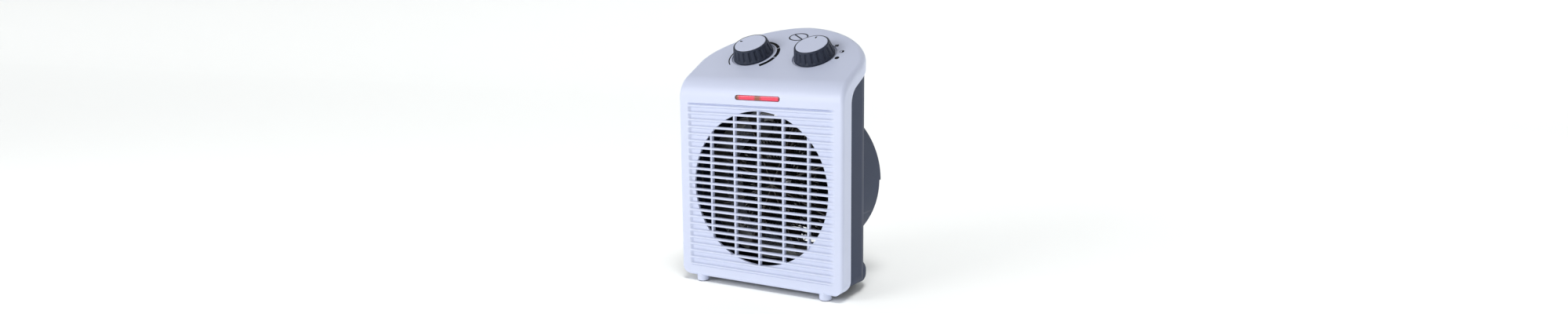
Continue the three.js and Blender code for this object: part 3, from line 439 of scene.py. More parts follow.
def noise(nodes, links, scale, detail=4.0, roughness=0.6, stretch=None):
    """A noise texture in the object's own coordinates, optionally stretched per axis."""
    coords = nodes.new("ShaderNodeTexCoord")
    texture = nodes.new("ShaderNodeTexNoise")
    texture.inputs["Scale"].default_value = scale
    texture.inputs["Detail"].default_value = detail
    texture.inputs["Roughness"].default_value = roughness
    if stretch:
        mapping = nodes.new("ShaderNodeMapping")
        mapping.inputs["Scale"].default_value = stretch
        links.new(coords.outputs["Object"], mapping.inputs["Vector"])
        links.new(mapping.outputs["Vector"], texture.inputs["Vector"])
    else:
        links.new(coords.outputs["Object"], texture.inputs["Vector"])
    return texture


def ramp(nodes, links, source, stops):
    """A colour ramp over the source, with (position, colour) stops."""
    node = nodes.new("ShaderNodeValToRGB")
    elements = node.color_ramp.elements
    while len(elements) < len(stops):
        elements.new(0.5)
    for element, (position, color) in zip(elements, stops):
        element.position = position
        element.color = (*color, 1)
    links.new(source, node.inputs["Fac"])
    return node


def spread(nodes, links, source, low, high):
    """The source's 0 to 1 spread from low to high."""
    node = nodes.new("ShaderNodeMapRange")
    node.inputs["To Min"].default_value = low
    node.inputs["To Max"].default_value = high
    links.new(source, node.inputs["Value"])
    return node


def bumped(nodes, links, principled, height, strength, distance):
    """Bumps the shader's surface by the height; the distance is in mm."""
    bump = nodes.new("ShaderNodeBump")
    bump.inputs["Strength"].default_value = strength
    bump.inputs["Distance"].default_value = distance * MM
    links.new(height, bump.inputs["Height"])
    links.new(bump.outputs["Normal"], principled.inputs["Normal"])


def wear_and_painted_highlight(nodes, links, base, worn_and_lit_tone, amount):
    """Mixes a colour towards a paler tone on convex edges: partly rubbed plastic, partly a painted edge
    highlight.
    """
    geometry = nodes.new("ShaderNodeNewGeometry")
    edge = nodes.new("ShaderNodeMapRange")
    edge.inputs["From Min"].default_value = 0.52
    edge.inputs["From Max"].default_value = 0.60
    edge.inputs["To Max"].default_value = amount
    links.new(geometry.outputs["Pointiness"], edge.inputs["Value"])
    mix = nodes.new("ShaderNodeMix")
    mix.data_type = "RGBA"
    links.new(edge.outputs["Result"], mix.inputs["Factor"])
    links.new(base, mix.inputs["A"])
    mix.inputs["B"].default_value = (*worn_and_lit_tone, 1)
    return mix.outputs["Result"]


def moulded(name, color, roughness, grain_scale, grain, variation=0.03, specular=0.5, edges_worn_and_lit=None):
    """Moulded plastic: a fine spark-eroded grain, faint flow clouds, uneven gloss, and if asked, paler
    convex edges that are partly rubbed and partly a painted highlight.
    """
    material, nodes, links, principled = shader(name, color, roughness, specular=specular)
    clouds = noise(nodes, links, 14.0, 3.0)
    fine = noise(nodes, links, grain_scale, 2.0, 0.55)
    dark = tuple(c * (1 - variation) for c in color)
    light = tuple(min(c * (1 + variation), 1.0) for c in color)
    tint = ramp(nodes, links, clouds.outputs["Fac"], [(0.3, dark), (0.7, light)]).outputs["Color"]
    # paler convex edges: partly rubbed, partly a painted edge highlight
    if edges_worn_and_lit:
        tint = wear_and_painted_highlight(nodes, links, tint, edges_worn_and_lit, 0.35)
    links.new(tint, principled.inputs["Base Color"])
    gloss = spread(nodes, links, clouds.outputs["Fac"], roughness - 0.05, roughness + 0.07)
    links.new(gloss.outputs["Result"], principled.inputs["Roughness"])
    bumped(nodes, links, principled, fine.outputs["Fac"], grain, 0.05)
    return material


def metal(name, color, roughness, stretch, brushing=0.25, stain=0.12):
    """Metal with brushing or drawing marks and a faint stain."""
    material, nodes, links, principled = shader(name, color, roughness, metallic=1.0)
    marks = noise(nodes, links, 90.0, 3.0, 0.6, stretch)
    stains = noise(nodes, links, 35.0, 4.0)
    dark = tuple(c * (1 - stain) for c in color)
    tint = ramp(nodes, links, stains.outputs["Fac"], [(0.35, dark), (0.65, color)]).outputs["Color"]
    links.new(tint, principled.inputs["Base Color"])
    gloss = spread(nodes, links, marks.outputs["Fac"], roughness - 0.08, roughness + 0.12)
    links.new(gloss.outputs["Result"], principled.inputs["Roughness"])
    bumped(nodes, links, principled, marks.outputs["Fac"], brushing, 0.03)
    return material


def mottled(name, color, second, roughness, scale, grain):
    """A mineral or board-like surface: two tones and a rough grain."""
    material, nodes, links, principled = shader(name, color, roughness)
    spots = noise(nodes, links, scale, 6.0, 0.7)
    tint = ramp(nodes, links, spots.outputs["Fac"], [(0.35, second), (0.62, color)]).outputs["Color"]
    links.new(tint, principled.inputs["Base Color"])
    gloss = spread(nodes, links, spots.outputs["Fac"], roughness - 0.1, roughness + 0.1)
    links.new(gloss.outputs["Result"], principled.inputs["Roughness"])
    bumped(nodes, links, principled, spots.outputs["Fac"], grain, 0.08)
    return material


def lens_material():
    """Red window with painted light: lit red over the two lamps, painted shade that makes it duller and
    more umber over the bridge and darker at the ends, and a faint painted emission.
    """
    material, nodes, links, principled = shader("red_lens", (0.70, 0.02, 0.05), 0.18, coat=0.4)
    coords = nodes.new("ShaderNodeTexCoord")
    parts = nodes.new("ShaderNodeSeparateXYZ")
    links.new(coords.outputs["Object"], parts.inputs["Vector"])
    across = nodes.new("ShaderNodeMapRange")
    across.inputs["From Min"].default_value = -LENS_HALF_WIDTH * MM
    across.inputs["From Max"].default_value = LENS_HALF_WIDTH * MM
    links.new(parts.outputs["X"], across.inputs["Value"])
    # Painted light through the lens: the lit red over the lamps, painted shade over the bridge and at the
    # ends.
    bright, shaded_brown, dark = (0.72, 0.036, 0.085), (0.26, 0.07, 0.035), (0.07, 0.025, 0.02)
    stops = [(0.0, dark), (0.06, shaded_brown), (0.105, bright), (0.41, bright), (0.46, shaded_brown),
             (0.54, shaded_brown), (0.60, bright), (0.95, bright), (0.985, dark)]
    tint_with_painted_light = ramp(nodes, links, across.outputs["Result"], stops)
    links.new(tint_with_painted_light.outputs["Color"], principled.inputs["Base Color"])
    # Painted emission: the lens gives off light of its own in these colours.
    links.new(tint_with_painted_light.outputs["Color"], principled.inputs["Emission Color"])
    principled.inputs["Emission Strength"].default_value = 0.16
    streaks = noise(nodes, links, 260.0, 2.0, 0.5, (0.15, 1, 1))
    bumped(nodes, links, principled, streaks.outputs["Fac"], 0.3, 0.1)
    return material


WHITE = moulded("pale_plastic", (0.62, 0.665, 0.830), 0.38, 2600, 0.10, 0.012)
SLATE = moulded("slate_plastic", (0.032, 0.044, 0.084), 0.58, 1500, 0.28, 0.05, 0.28)
# The knob and black plastics get paler convex edges: partly rubbed, partly a painted edge highlight.
KNOB = moulded("knob_plastic", (0.021, 0.028, 0.050), 0.46, 1900, 0.20, 0.05, 0.3, (0.07, 0.085, 0.12))
BLACK = moulded("black_plastic", (0.006, 0.007, 0.009), 0.55, 1700, 0.2, 0.08, 0.2, (0.02, 0.02, 0.024))
INK = moulded("printed_ink", (0.004, 0.004, 0.006), 0.6, 2400, 0.12, 0.15, 0.1)
GREY_INK = moulded("grey_ink", (0.022, 0.025, 0.036), 0.6, 2400, 0.12, 0.15, 0.1)
SLEEVE = moulded("wire_sleeve", (0.02, 0.023, 0.03), 0.45, 1200, 0.2, 0.1)
RUBBER = moulded("black_rubber", (0.008, 0.008, 0.008), 0.75, 900, 0.4, 0.2)
STEEL = metal("sheet_steel", (0.15, 0.153, 0.156), 0.42, (1, 0.1, 1), 0.2, 0.2)
CORE = metal("core_steel", (0.17, 0.18, 0.20), 0.48, (0.2, 6, 0.2), 0.5, 0.25)
BRIGHT = metal("bright_steel", (0.62, 0.63, 0.65), 0.24, (1, 1, 1), 0.15, 0.1)
WIRE = metal("heating_wire", (0.27, 0.26, 0.25), 0.34, (1, 1, 1), 0.2, 0.35)
COPPER = metal("copper", (0.45, 0.17, 0.06), 0.35, (0.1, 1, 1), 0.5, 0.3)
MICA = mottled("mica", (0.060, 0.048, 0.036), (0.030, 0.024, 0.020), 0.5, 180, 0.35)
CERAMIC = mottled("ceramic", (0.13, 0.12, 0.11), (0.09, 0.085, 0.08), 0.6, 220, 0.2)
LAMP = moulded("lamp_glass", (0.85, 0.30, 0.14), 0.12, 300, 0.05, 0.1)
LENS = lens_material()

SLOTS = {
    "pale_plastic": WHITE,
    "slate_plastic": SLATE,
    "knob_plastic": KNOB,
    "red_lens": LENS,
    "lamp_glass": LAMP,
    "sheet_steel": STEEL,
    "core_steel": CORE,
    "bright_steel": BRIGHT,
    "heating_wire": WIRE,
    "mica": MICA,
    "copper": COPPER,
    "black_plastic": BLACK,
    "ceramic": CERAMIC,
    "wire_sleeve": SLEEVE,
    "black_rubber": RUBBER,
}
NODE_SLOTS = {entry["node"]: entry["material_slot"] for entry in frame["record"]["subparts"]}
for node_name, node in frame["nodes"].items():
    for index in range(len(node.material_slots)):
        node.material_slots[index].material = SLOTS[NODE_SLOTS[node_name]]


# ---------------------------------------------------------------- front cover
def rib_heights():
    return [RIB_TOP_Z - i * RIB_PITCH for i in range(RIB_COUNT)]


def end_ramp(x):
    """0 on the field's edge, 1 once the ramp has reached the valley floor."""
    share = (FIELD_RIGHT - x) / SOFT_RAMP if x > 0 else (FIELD_HALF_WIDTH + x) / FIELD_RAMP
    share = min(max(share, 0.0), 1.0)
    return 0.5 - 0.5 * math.cos(math.pi * share)


def valley(z):
    """0 on a rib's front and on the field's rims, 1 on the floor between ribs."""
    nearest = min(abs(z - rib) for rib in rib_heights())
    shoulder = 0.98 * RIB_NOSE
    root_start, root_end, root_height = RIB_ROOT
    if nearest <= shoulder:
        depth = RIB_NOSE - math.sqrt(RIB_NOSE ** 2 - nearest ** 2)
    elif nearest <= RIB_NOSE + root_start:
        depth = min(FIELD_DEPTH, 0.8 * RIB_NOSE + (nearest - shoulder) / RIB_DRAFT)
    else:
        rest = max(0.0, (RIB_NOSE + root_end - nearest) / (root_end - root_start))
        depth = FIELD_DEPTH - root_height * rest ** 2
    rim = min(FIELD_TOP - z, z - FIELD_BOTTOM)
    if rim < FIELD_RIM:
        depth = min(depth, FIELD_DEPTH * math.sin(rim / FIELD_RIM * math.pi / 2))
    return min(depth / FIELD_DEPTH, 1.0)


def field_rows():
    """Heights of the field's mesh rows: close together on the ribs and along the rims."""
    shares = (2.45, 1.9, 1.64, 1.41, 1.23, 1.09, 1.02, 0.96, 0.89, 0.73, 0.5, 0.25, 0.0)
    steps = (0.0, 0.15, 0.35, 0.6)
    heights = [FIELD_BOTTOM + step for step in steps]
    heights += [FIELD_TOP - step for step in (*steps, FIELD_RIM)]
    for z in rib_heights():
        heights += [z + side * share * RIB_NOSE for share in shares for side in (-1, 1)]
    return sorted({round(z, 4) for z in heights if FIELD_BOTTOM <= z <= FIELD_TOP})


def field_surface():
    """The ribbed plate: a height field of rounded ribs that runs out in a ramp at both ends."""
    xs = [-FIELD_HALF_WIDTH + FIELD_RAMP * k / 12 for k in range(13)]
    xs += [FIELD_RIGHT - SOFT_RAMP * (1 - k / 20) for k in range(21)]
    zs = field_rows()
    rows, columns = len(zs), len(xs)
    points = [(x, FIELD_DEPTH * end_ramp(x) * valley(z), z) for z in zs for x in xs]
    rim = list(range(columns))
    rim += [i * columns + columns - 1 for i in range(1, rows)]
    rim += [(rows - 1) * columns + j for j in range(columns - 2, -1, -1)]
    rim += [i * columns for i in range(rows - 2, 0, -1)]
    start, n = len(points), len(rim)
    points += [(points[i][0], PLATE_BACK, points[i][2]) for i in rim]
    faces = grid_faces(rows, columns)
    faces += [(rim[k], rim[(k + 1) % n], start + (k + 1) % n, start + k) for k in range(n)]
    faces.append(tuple(range(start, start + n)))
    return solid(points, faces)


def rib_section(z, steps=9):
    """A blade's section in (y, z), a hair inside the field's own ribs: a round nose and flanks."""
    inside, chamfer, depth = 0.02, 0.4, GRILLE_DEPTH
    nose = arc(inside + RIB_NOSE, 0, RIB_NOSE - inside, math.pi / 2, 1.5 * math.pi, steps)
    back = RIB_NOSE + RIB_FLARE * depth - inside
    outline = nose + [(depth - chamfer, -back), (depth, -back + chamfer)]
    outline += [(depth, back - chamfer), (depth - chamfer, back)]
    return [(y, z + dz) for y, dz in outline]


def grille_blades():
    """The stretches of the ribs that cross the outlet."""
    overlap = 0.8
    blades = []
    for z in rib_heights():
        rise = abs(z - AXIS_Z)
        if rise >= OUTLET_RADIUS:
            continue
        half = math.sqrt(OUTLET_RADIUS ** 2 - rise ** 2) + overlap
        blades.append(mesh_from("blade", *extruded(rib_section(z), along_x, -half, half)))
    return blades


def grille_bars():
    """The upright bars across the outlet, their ends cut to its round edge."""
    outlet = rod_y(OUTLET_RADIUS + 0.1, -1, 8, sides=180)
    bars = []
    for i in range(-2, 3):
        x = i * BAR_SPACING
        outline = arc(x, BAR_FRONT_Y + BAR_HALF_WIDTH, BAR_HALF_WIDTH, math.pi, 2 * math.pi, 9)
        back, back_y = BAR_HALF_WIDTH + 0.1, GRILLE_DEPTH + 1
        outline += [(x + back, back_y), (x - back, back_y)]
        reach = OUTLET_RADIUS + 1
        bar = solid(*extruded(outline, along_z, AXIS_Z - reach, AXIS_Z + reach))
        bars.append(keep(bar, outlet))
    return bars


def foot(side, place, top):
    x, y = place
    edge = arc(FOOT_RADIUS - FOOT_EDGE, FLOOR + PAD_HEIGHT + FOOT_EDGE, FOOT_EDGE, -math.pi / 2, 0, 8)
    flare = arc(FOOT_RADIUS + FOOT_FLARE, BASE - FOOT_FLARE, FOOT_FLARE, math.pi, math.pi / 2, 4)
    profile = edge + flare + [(FOOT_RADIUS, BASE + 0.6), (FOOT_RADIUS, top)]
    return mesh_from("foot", *turned(profile, (side * x, y, 0), (0, 0, 1), 48))


def foot_pads():
    """Four thin rubber pads, sunk a little into the feet."""
    chamfer, sunk = 0.3, 0.4
    profile = [(PAD_RADIUS - chamfer, FLOOR), (PAD_RADIUS, FLOOR + chamfer)]
    profile.append((PAD_RADIUS, FLOOR + PAD_HEIGHT + sunk))
    pads = []
    for side in (-1, 1):
        for x, y in (FRONT_FOOT, REAR_FOOT):
            pads.append(mesh_from("pad", *turned(profile, (side * x, y, 0), (0, 0, 1), 40)))
    piece("foot_pads", pads, RUBBER, "casing")


def front_cover():
    """The pale shell with its knob recesses, lens opening, ribbed field, grille and front feet."""
    shell = cut(casing_body(0.0), casing_body(WALL), behind_parting(0.0))
    for side in (-1, 1):
        join(shell, panel_disc(side, RECESS_RADIUS + 2, *RECESS_BACKING))
        cut(shell, panel_disc(side, RECESS_RADIUS, -RECESS_DEPTH, 8))
        cut(shell, panel_disc(side, SHAFT_HOLE_RADIUS, -9, 6, 48))
    opening = stadium(LENS_HALF_WIDTH + GAP, LENS_HALF_HEIGHT + GAP, LENS_Z)
    cut(shell, solid(*extruded(opening, along_y, -1, 5)))
    rounded(shell, 0.45, 3, 45)
    cut(shell, box(-FIELD_HALF_WIDTH, FIELD_RIGHT, -1, 6, FIELD_BOTTOM, FIELD_TOP))
    plate = cut(field_surface(), rod_y(OUTLET_RADIUS, -1, 8, sides=180))
    feet = [foot(side, FRONT_FOOT, BASE + 3.4) for side in (-1, 1)]
    meshes = [shell, plate, *grille_blades(), *grille_bars(), *feet]
    piece("front_moulding", meshes, WHITE, "casing", ["front_cover"])


# ---------------------------------------------------------------- rear shell
def rear_bumper(side):
    """The round bump at a rear lower corner: rings of the plan, growing and shrinking with height."""
    rest = REAR_STEP + 9.0
    first, sweep = BUMPER_TURN
    rows = []
    for height, inset in ((8.6, 1.9), (9.2, 0.4), (10.4, -0.9), (12.4, -1.9), (15.0, -2.4), (18.0, -2.5),
                          (21.0, -2.3), (23.5, -1.5), (25.6, 0.0), (27.2, 1.8), (28.2, 4.0)):
        row = []
        for k in range(33):
            share = k / 32
            rise = math.sin(math.pi / 2 * min(share * 2.4, 1.0))
            fall = math.sin(math.pi / 2 * min((1 - share) * 3, 1.0))
            x, y, _ = rear_point(math.radians(first + sweep * share), rest + (inset - rest) * rise * fall)
            row.append((side * x, y, height))
        row += [(side * 50, 60, height), (side * 65, 40, height)]
        rows.append(row)
    columns = len(rows[0])
    points = [p for row in rows for p in row]
    faces = grid_faces(len(rows), columns, close_columns=True)
    faces += [tuple(range(columns)), tuple(range(len(points) - columns, len(points)))]
    underside = round_bottomed(WIDTH / 2 + 3, BASE + REAR_STEP, CORNER_RADIUS + 3)
    return keep(solid(points, faces), underside)


def air_drum():
    """The round wall behind the fan, its upper half a step prouder than the lower."""
    low = rod_y(DRUM_RADIUS - DRUM_STEP, DRUM_FRONT_Y, DEPTH, sides=160)
    high = keep(rod_y(DRUM_RADIUS, DRUM_FRONT_Y, DEPTH, sides=160), box(-100, 100, 0, 200, AXIS_Z, 300))
    return cut(join(low, high), rod_y(DRUM_BORE, DRUM_FRONT_Y - 1, DEPTH + 1, sides=160))


def screw_places(body, side):
    """Adds the bosses, pilot holes and wells on one side of the rear shell."""
    for z in CASE_SCREW_HEIGHTS:
        x = side * CASE_SCREW_X
        boss = rod_y(BOSS_RADIUS, PARTING_Y + 0.4, DEPTH, x, z, 40)
        join(body, keep(boss, casing_body(REAR_STEP, 6, 20, 3)))
        cut(body, rod_y(PILOT_RADIUS, PARTING_Y - 2, WELL_FRONT_Y + 2, x, z, 24))
        cut(body, rod_y(WELL_RADIUS, WELL_FRONT_Y, DEPTH, x, z, 40))
    x = side * POST_X
    join(body, rod_y(POST_RADIUS, POST_FRONT_Y, POST_BACK_Y, x, AXIS_Z, 32))
    cut(body, rod_y(PILOT_RADIUS, POST_FRONT_Y - 1, POST_FRONT_Y + 12, x, AXIS_Z, 24))


def rear_shell():
    """The slate shell with its air drum, screw places, gland hole, bumps and rear feet."""
    body = cut(casing_body(REAR_STEP), casing_body(REAR_STEP + WALL))
    keep(body, behind_parting(GAP))
    cut(body, rod_y(DRUM_BORE + 0.5, DRUM_FRONT_Y, DEPTH + 1))
    join(body, air_drum())
    for side in (-1, 1):
        screw_places(body, side)
    cut(body, rod_y(GLAND_HOLE_RADIUS, 70, DEPTH, GLAND_X, GLAND_Z, 48))
    rounded(body, 0.5, 3, 50)
    for side in (-1, 1):
        join(body, cut(rear_bumper(side), casing_body(REAR_STEP + WALL)))
    feet = [foot(side, REAR_FOOT, BASE + 2.5) for side in (-1, 1)]
    piece("rear_moulding", [body, *feet], SLATE, "casing", ["rear_shell"])


def ring_section(radius, half_width, y0, y1, bevel=0.5):
    """A closed [radius, y] section with bevelled edges."""
    r0, r1 = radius - half_width, radius + half_width
    return [(r0 + bevel, y0), (r1 - bevel, y0), (r1, y0 + bevel), (r1, y1 - bevel), (r1 - bevel, y1),
            (r0 + bevel, y1), (r0, y1 - bevel), (r0, y0 + bevel), (r0 + bevel, y0)]


def guard_spoke(turn, start, end):
    """A bar along a ray of the guard, from one radius to another."""
    ray = Vector((math.cos(turn), 0, math.sin(turn)))
    side = Vector((-math.sin(turn), 0, math.cos(turn)))
    half, chamfer, back_y = SPOKE_HALF_WIDTH, 0.4, INLET_BACK - 0.1
    outline = [(-half, INLET_Y), (half, INLET_Y), (half, back_y - chamfer), (half - chamfer, back_y),
               (chamfer - half, back_y), (-half, back_y - chamfer)]

    def place(a, b, h):
        return Vector((0, b, AXIS_Z)) + side * a + ray * h

    return mesh_from("spoke", *extruded(outline, place, start, end))


def inlet_guard():
    """The guard in the drum's mouth: a rim, rings and spokes around a slightly domed hub."""
    hub, rim = INLET_HUB_RADIUS, DRUM_BORE - GAP
    pitch = (rim - 2 * INLET_RIM_HALF_WIDTH - hub) / (INLET_RINGS + 1)
    rings = [(rim - INLET_RIM_HALF_WIDTH, INLET_RIM_HALF_WIDTH)]
    rings += [(hub + (i + 1) * pitch, INLET_RING_HALF_WIDTH) for i in range(INLET_RINGS)]
    meshes = []
    for radius, half in rings:
        section = ring_section(radius, half, INLET_Y, INLET_BACK)
        meshes.append(mesh_from("ring", *turned(section, (0, 0, AXIS_Z), (0, 1, 0), 128)))
    dome = [(hub, INLET_Y), (hub, INLET_BACK - 1.2)]
    dome += [(hub - 0.6 - 0.4 * k * k, INLET_BACK - 0.5 + 0.08 * k) for k in range(1, 6)]
    meshes.append(mesh_from("hub", *turned(dome, (0, 0, AXIS_Z), (0, 1, 0), 96)))
    for i in range(INLET_SPOKES):
        meshes.append(guard_spoke(2 * math.pi * i / INLET_SPOKES, hub - 1, rim - 1))
    piece("inlet_guard", meshes, SLATE, "casing", ["inlet_grille"])


# ---------------------------------------------------------------- lens
def lens():
    """The lamp window: rings of the stadium from its back to its softly rounded front."""
    rings = []
    for inset, y in ((0.0, 4.6), (0.0, 1.2), (0.12, 0.85), (0.35, 0.62), (0.75, 0.5), (1.3, 0.45)):
        outline = stadium(LENS_HALF_WIDTH - inset, LENS_HALF_HEIGHT - inset, LENS_Z)
        rings.append([(a, y, b) for a, b in outline])
    columns = len(rings[0])
    points = [p for ring in rings for p in ring]
    faces = grid_faces(len(rings), columns, close_columns=True)
    faces += [tuple(range(columns)), tuple(range(len(points) - columns, len(points)))]
    window = mesh_from("lens", points, faces)
    piece("lens_window", [window], LENS, "casing", ["indicator_lens"])


# ---------------------------------------------------------------- knobs
def smoothstep(value):
    value = min(max(value, 0.0), 1.0)
    return value * value * (3 - 2 * value)


def knob_profile():
    """(radius, height) from under the skirt, up its side, over the shoulder and into the cap's seat."""
    low, edge, rows = KNOB_CLEARANCE - RECESS_DEPTH, 0.6, 26
    bottom_z, top_z = low + edge, KNOB_HEIGHT - 1.3
    seat, seat_z = CAP_SEAT_RADIUS, KNOB_HEIGHT - 1.5
    profile = [(SHAFT_HOLE_RADIUS + 1, low), (KNOB_BASE_RADIUS - 0.7, low)]
    profile += arc(KNOB_BASE_RADIUS - edge, bottom_z, edge, -math.pi / 2, 0, 4)
    for k in range(1, rows + 1):
        share = k / rows
        radius = KNOB_BASE_RADIUS + (KNOB_TOP_RADIUS - KNOB_BASE_RADIUS) * share
        profile.append((radius, bottom_z + (top_z - bottom_z) * share))
    profile += arc(KNOB_TOP_RADIUS - KNOB_SHOULDER, top_z, KNOB_SHOULDER, 0, 0.47 * math.pi, 6)[1:]
    profile += [(seat + 0.1, KNOB_HEIGHT - 0.06), (seat, KNOB_HEIGHT - 0.2), (seat, seat_z), (0.5, seat_z)]
    return profile


def flute_depth(step, z):
    """How far the skirt's surface is drawn in at one step around and one height."""
    phase = abs((step / STEPS_PER_FLUTE) % 1.0 - 0.5)
    groove = 1 - smoothstep((phase - 0.08) / 0.20)
    run = smoothstep((z - 0.9) / 1.6) * smoothstep((KNOB_HEIGHT - 1.0 - z) / 2.0)
    return FLUTE_DEPTH * groove * run


def knob(side, name, body):
    """A fluted skirt around a shallow seat for the cap, on a radius-and-height grid."""
    profile = knob_profile()
    sides = FLUTE_COUNT * STEPS_PER_FLUTE
    points = []
    for radius, z in profile:
        for k in range(sides):
            turn = 2 * math.pi * k / sides
            r = radius - flute_depth(k, z) if radius > CAP_SEAT_RADIUS + 0.2 else radius
            points.append(on_panel(side * KNOB_X + r * math.cos(turn), KNOB_SLOPE + r * math.sin(turn), z))
    faces = grid_faces(len(profile), sides, close_columns=True)
    top = (len(profile) - 1) * sides
    faces.append(tuple(range(top, top + sides)))
    skirt = mesh_from("knob", points, faces)
    piece(f"{name}_skirt", [skirt], KNOB, body, [f"{name}_knob"], 50)


def knob_cap(side, name, body):
    """The pale disc on a knob, a little hollow towards its middle."""
    edge, rise = 0.35, 0.25
    profile = [(CAP_RADIUS, KNOB_HEIGHT - 1.2)]
    profile += arc(CAP_RADIUS - edge, KNOB_HEIGHT - edge, edge, 0, math.pi / 2, 5)
    for share in (0.95, 0.8, 0.6, 0.4, 0.2, 0.02):
        profile.append((CAP_RADIUS * share, KNOB_HEIGHT - rise * (1 - share) ** 2))
    origin = on_panel(side * KNOB_X, KNOB_SLOPE, 0)
    cap = mesh_from("cap", *turned(profile, origin, PANEL_N, 128))
    piece(f"{name}_cap", [cap], WHITE, body, [f"{name}_knob_cap"], 50)


def knob_pointer(side, name, body, angle):
    """The half-moon printed near the edge of a cap."""
    c, s = math.cos(angle), math.sin(angle)
    outline = []
    for a, v in arc(0, 0, POINTER_RADIUS, 0, math.pi, 20):
        u = CAP_RADIUS - POINTER_INSET + a
        outline.append((side * KNOB_X + u * c - v * s, KNOB_SLOPE + u * s + v * c))
    mark = mesh_from("mark", *extruded(outline, on_panel, KNOB_HEIGHT - 0.2, KNOB_HEIGHT))
    piece(f"{name}_pointer", [mark], INK, body)


# ---------------------------------------------------------------- printed marks
def panel_patch(outline):
    """A thin printed patch with the given outline."""
    return mesh_from("print", *extruded(outline, on_panel, -INK_HEIGHT, INK_HEIGHT))


def ring_patch(centre, rx, ry, width, steps=64):
    """A printed band between two ellipses."""
    points, faces = [], []
    for k in range(steps):
        turn = 2 * math.pi * k / steps
        ray = Vector((math.cos(turn), math.sin(turn)))
        for height in (-INK_HEIGHT, INK_HEIGHT):
            points.append(on_panel(centre[0] + rx * ray.x, centre[1] + ry * ray.y, height))
            inner_x, inner_y = (rx - width) * ray.x, (ry - width) * ray.y
            points.append(on_panel(centre[0] + inner_x, centre[1] + inner_y, height))
        a, b = 4 * k, 4 * ((k + 1) % steps)
        faces += [(a + 2, b + 2, b + 3, a + 3), (a, a + 1, b + 1, b)]
        faces += [(a, b, b + 2, a + 2), (a + 1, a + 3, b + 3, b + 1)]
    return mesh_from("print", points, faces)


def scale_wedge():
    """The thermostat's scale: a band around the knob that widens clockwise, broken twice."""
    narrow, growth, half_break = 1.0, 3.2, 0.0042
    breaks = [(at - 360 - SCALE_START) / SCALE_SWEEP for at in SCALE_BREAKS]
    ends = [0.0] + [b + d for b in breaks for d in (-half_break, half_break)] + [1.0]
    meshes = []
    for low, high in zip(ends[::2], ends[1::2]):
        steps = max(4, int(90 * (high - low)))
        inner, outer = [], []
        for k in range(steps + 1):
            share = low + (high - low) * k / steps
            turn = math.radians(SCALE_START + SCALE_SWEEP * share)
            for side, radius in ((outer, SCALE_RADIUS), (inner, SCALE_RADIUS - narrow - growth * share)):
                x = SCALE_CENTRE[0] + radius * math.cos(turn)
                side.append((x, SCALE_CENTRE[1] + radius * math.sin(turn)))
        meshes.append(panel_patch(outer + inner[::-1]))
    return meshes


def fan_symbol(size):
    """Four round blades around the fan mark's place."""
    meshes = []
    for k in range(4):
        turn = math.pi / 4 + k * math.pi / 2
        c, s = math.cos(turn), math.sin(turn)
        blade = []
        for a, b in arc(0.55 * size, 0.12 * size, 0.42 * size, 0, 2 * math.pi, 18)[:-1]:
            blade.append((FAN_MARK[0] + a * c - b * s, FAN_MARK[1] + a * s + b * c))
        meshes.append(panel_patch(blade))
    return meshes


def printed_marks():
    """The scale and three marks in black, and the barred ring in grey."""
    marks = scale_wedge() + fan_symbol(2.4)
    marks.append(ring_patch(HALF_MARK, DOT_RADIUS, DOT_RADIUS, 0.5))
    marks.append(panel_patch(arc(*HALF_MARK, DOT_RADIUS - 0.2, -math.pi / 2, math.pi / 2, 20)))
    marks.append(panel_patch(arc(*FULL_MARK, DOT_RADIUS, 0, 2 * math.pi, 40)[:-1]))
    piece("panel_marks", marks, INK, "casing")
    corners = ((-7.2, 4.4), (-6.2, 5.4), (7.2, -4.4), (6.2, -5.4))
    bar = panel_patch([(SIGN_MARK[0] + a, SIGN_MARK[1] + b) for a, b in corners])
    piece("panel_ring", [ring_patch(SIGN_MARK, 10.6, 7.3, 1.4), bar], GREY_INK, "casing")


# ---------------------------------------------------------------- heating element
def tube_mesh(name, points, radius, sides=6):
    """A round wire along a closed loop of points."""
    count = len(points)
    array = np.array(points)
    tangents = np.roll(array, -1, 0) - np.roll(array, 1, 0)
    tangents /= np.linalg.norm(tangents, axis=1)[:, None]
    first = np.cross(tangents, np.array((0.0, 1.0, 0.0)))
    first /= np.linalg.norm(first, axis=1)[:, None]
    second = np.cross(tangents, first)
    made = []
    for i in range(count):
        for k in range(sides):
            turn = 2 * math.pi * k / sides
            made.append(array[i] + radius * (math.cos(turn) * first[i] + math.sin(turn) * second[i]))
    faces = []
    for i in range(count):
        here, there = i * sides, (i + 1) % count * sides
        for k in range(sides):
            m = (k + 1) % sides
            faces.append((here + k, here + m, there + m, there + k))
    return mesh_from(name, made, faces)


def heating_coil(position, radius):
    """A helix of heating wire bent into a ring around the axis."""
    per_turn = 12
    count = int(2 * math.pi * radius / HELIX_PITCH) * per_turn
    points = []
    for i in range(count):
        around, inner = 2 * math.pi * i / count, 2 * math.pi * i / per_turn
        r = radius + HELIX_RADIUS * math.cos(inner)
        y = COIL_Y + HELIX_RADIUS * math.sin(inner)
        points.append((r * math.cos(around), y, AXIS_Z + r * math.sin(around)))
    name = f"coil_{position}"
    wire = tube_mesh(name, points, COIL_WIRE_RADIUS)
    piece(name, [wire], WIRE, "casing", [f"heating_coil_{position}"], 60)


# ---------------------------------------------------------------- build
front_cover()
rear_shell()
inlet_guard()
lens()
for side, name, dot in ((-1, "thermostat", THERMOSTAT_DOT), (1, "selector", SELECTOR_DOT)):
    knob(side, name, f"{name}_control")
    knob_cap(side, name, f"{name}_control")
    knob_pointer(side, name, f"{name}_control", dot)
printed_marks()
for position, radius in zip(("inner", "middle", "outer"), COIL_RADII):
    heating_coil(position, radius)
foot_pads()
for obj in scratch:
    bpy.data.objects.remove(obj)


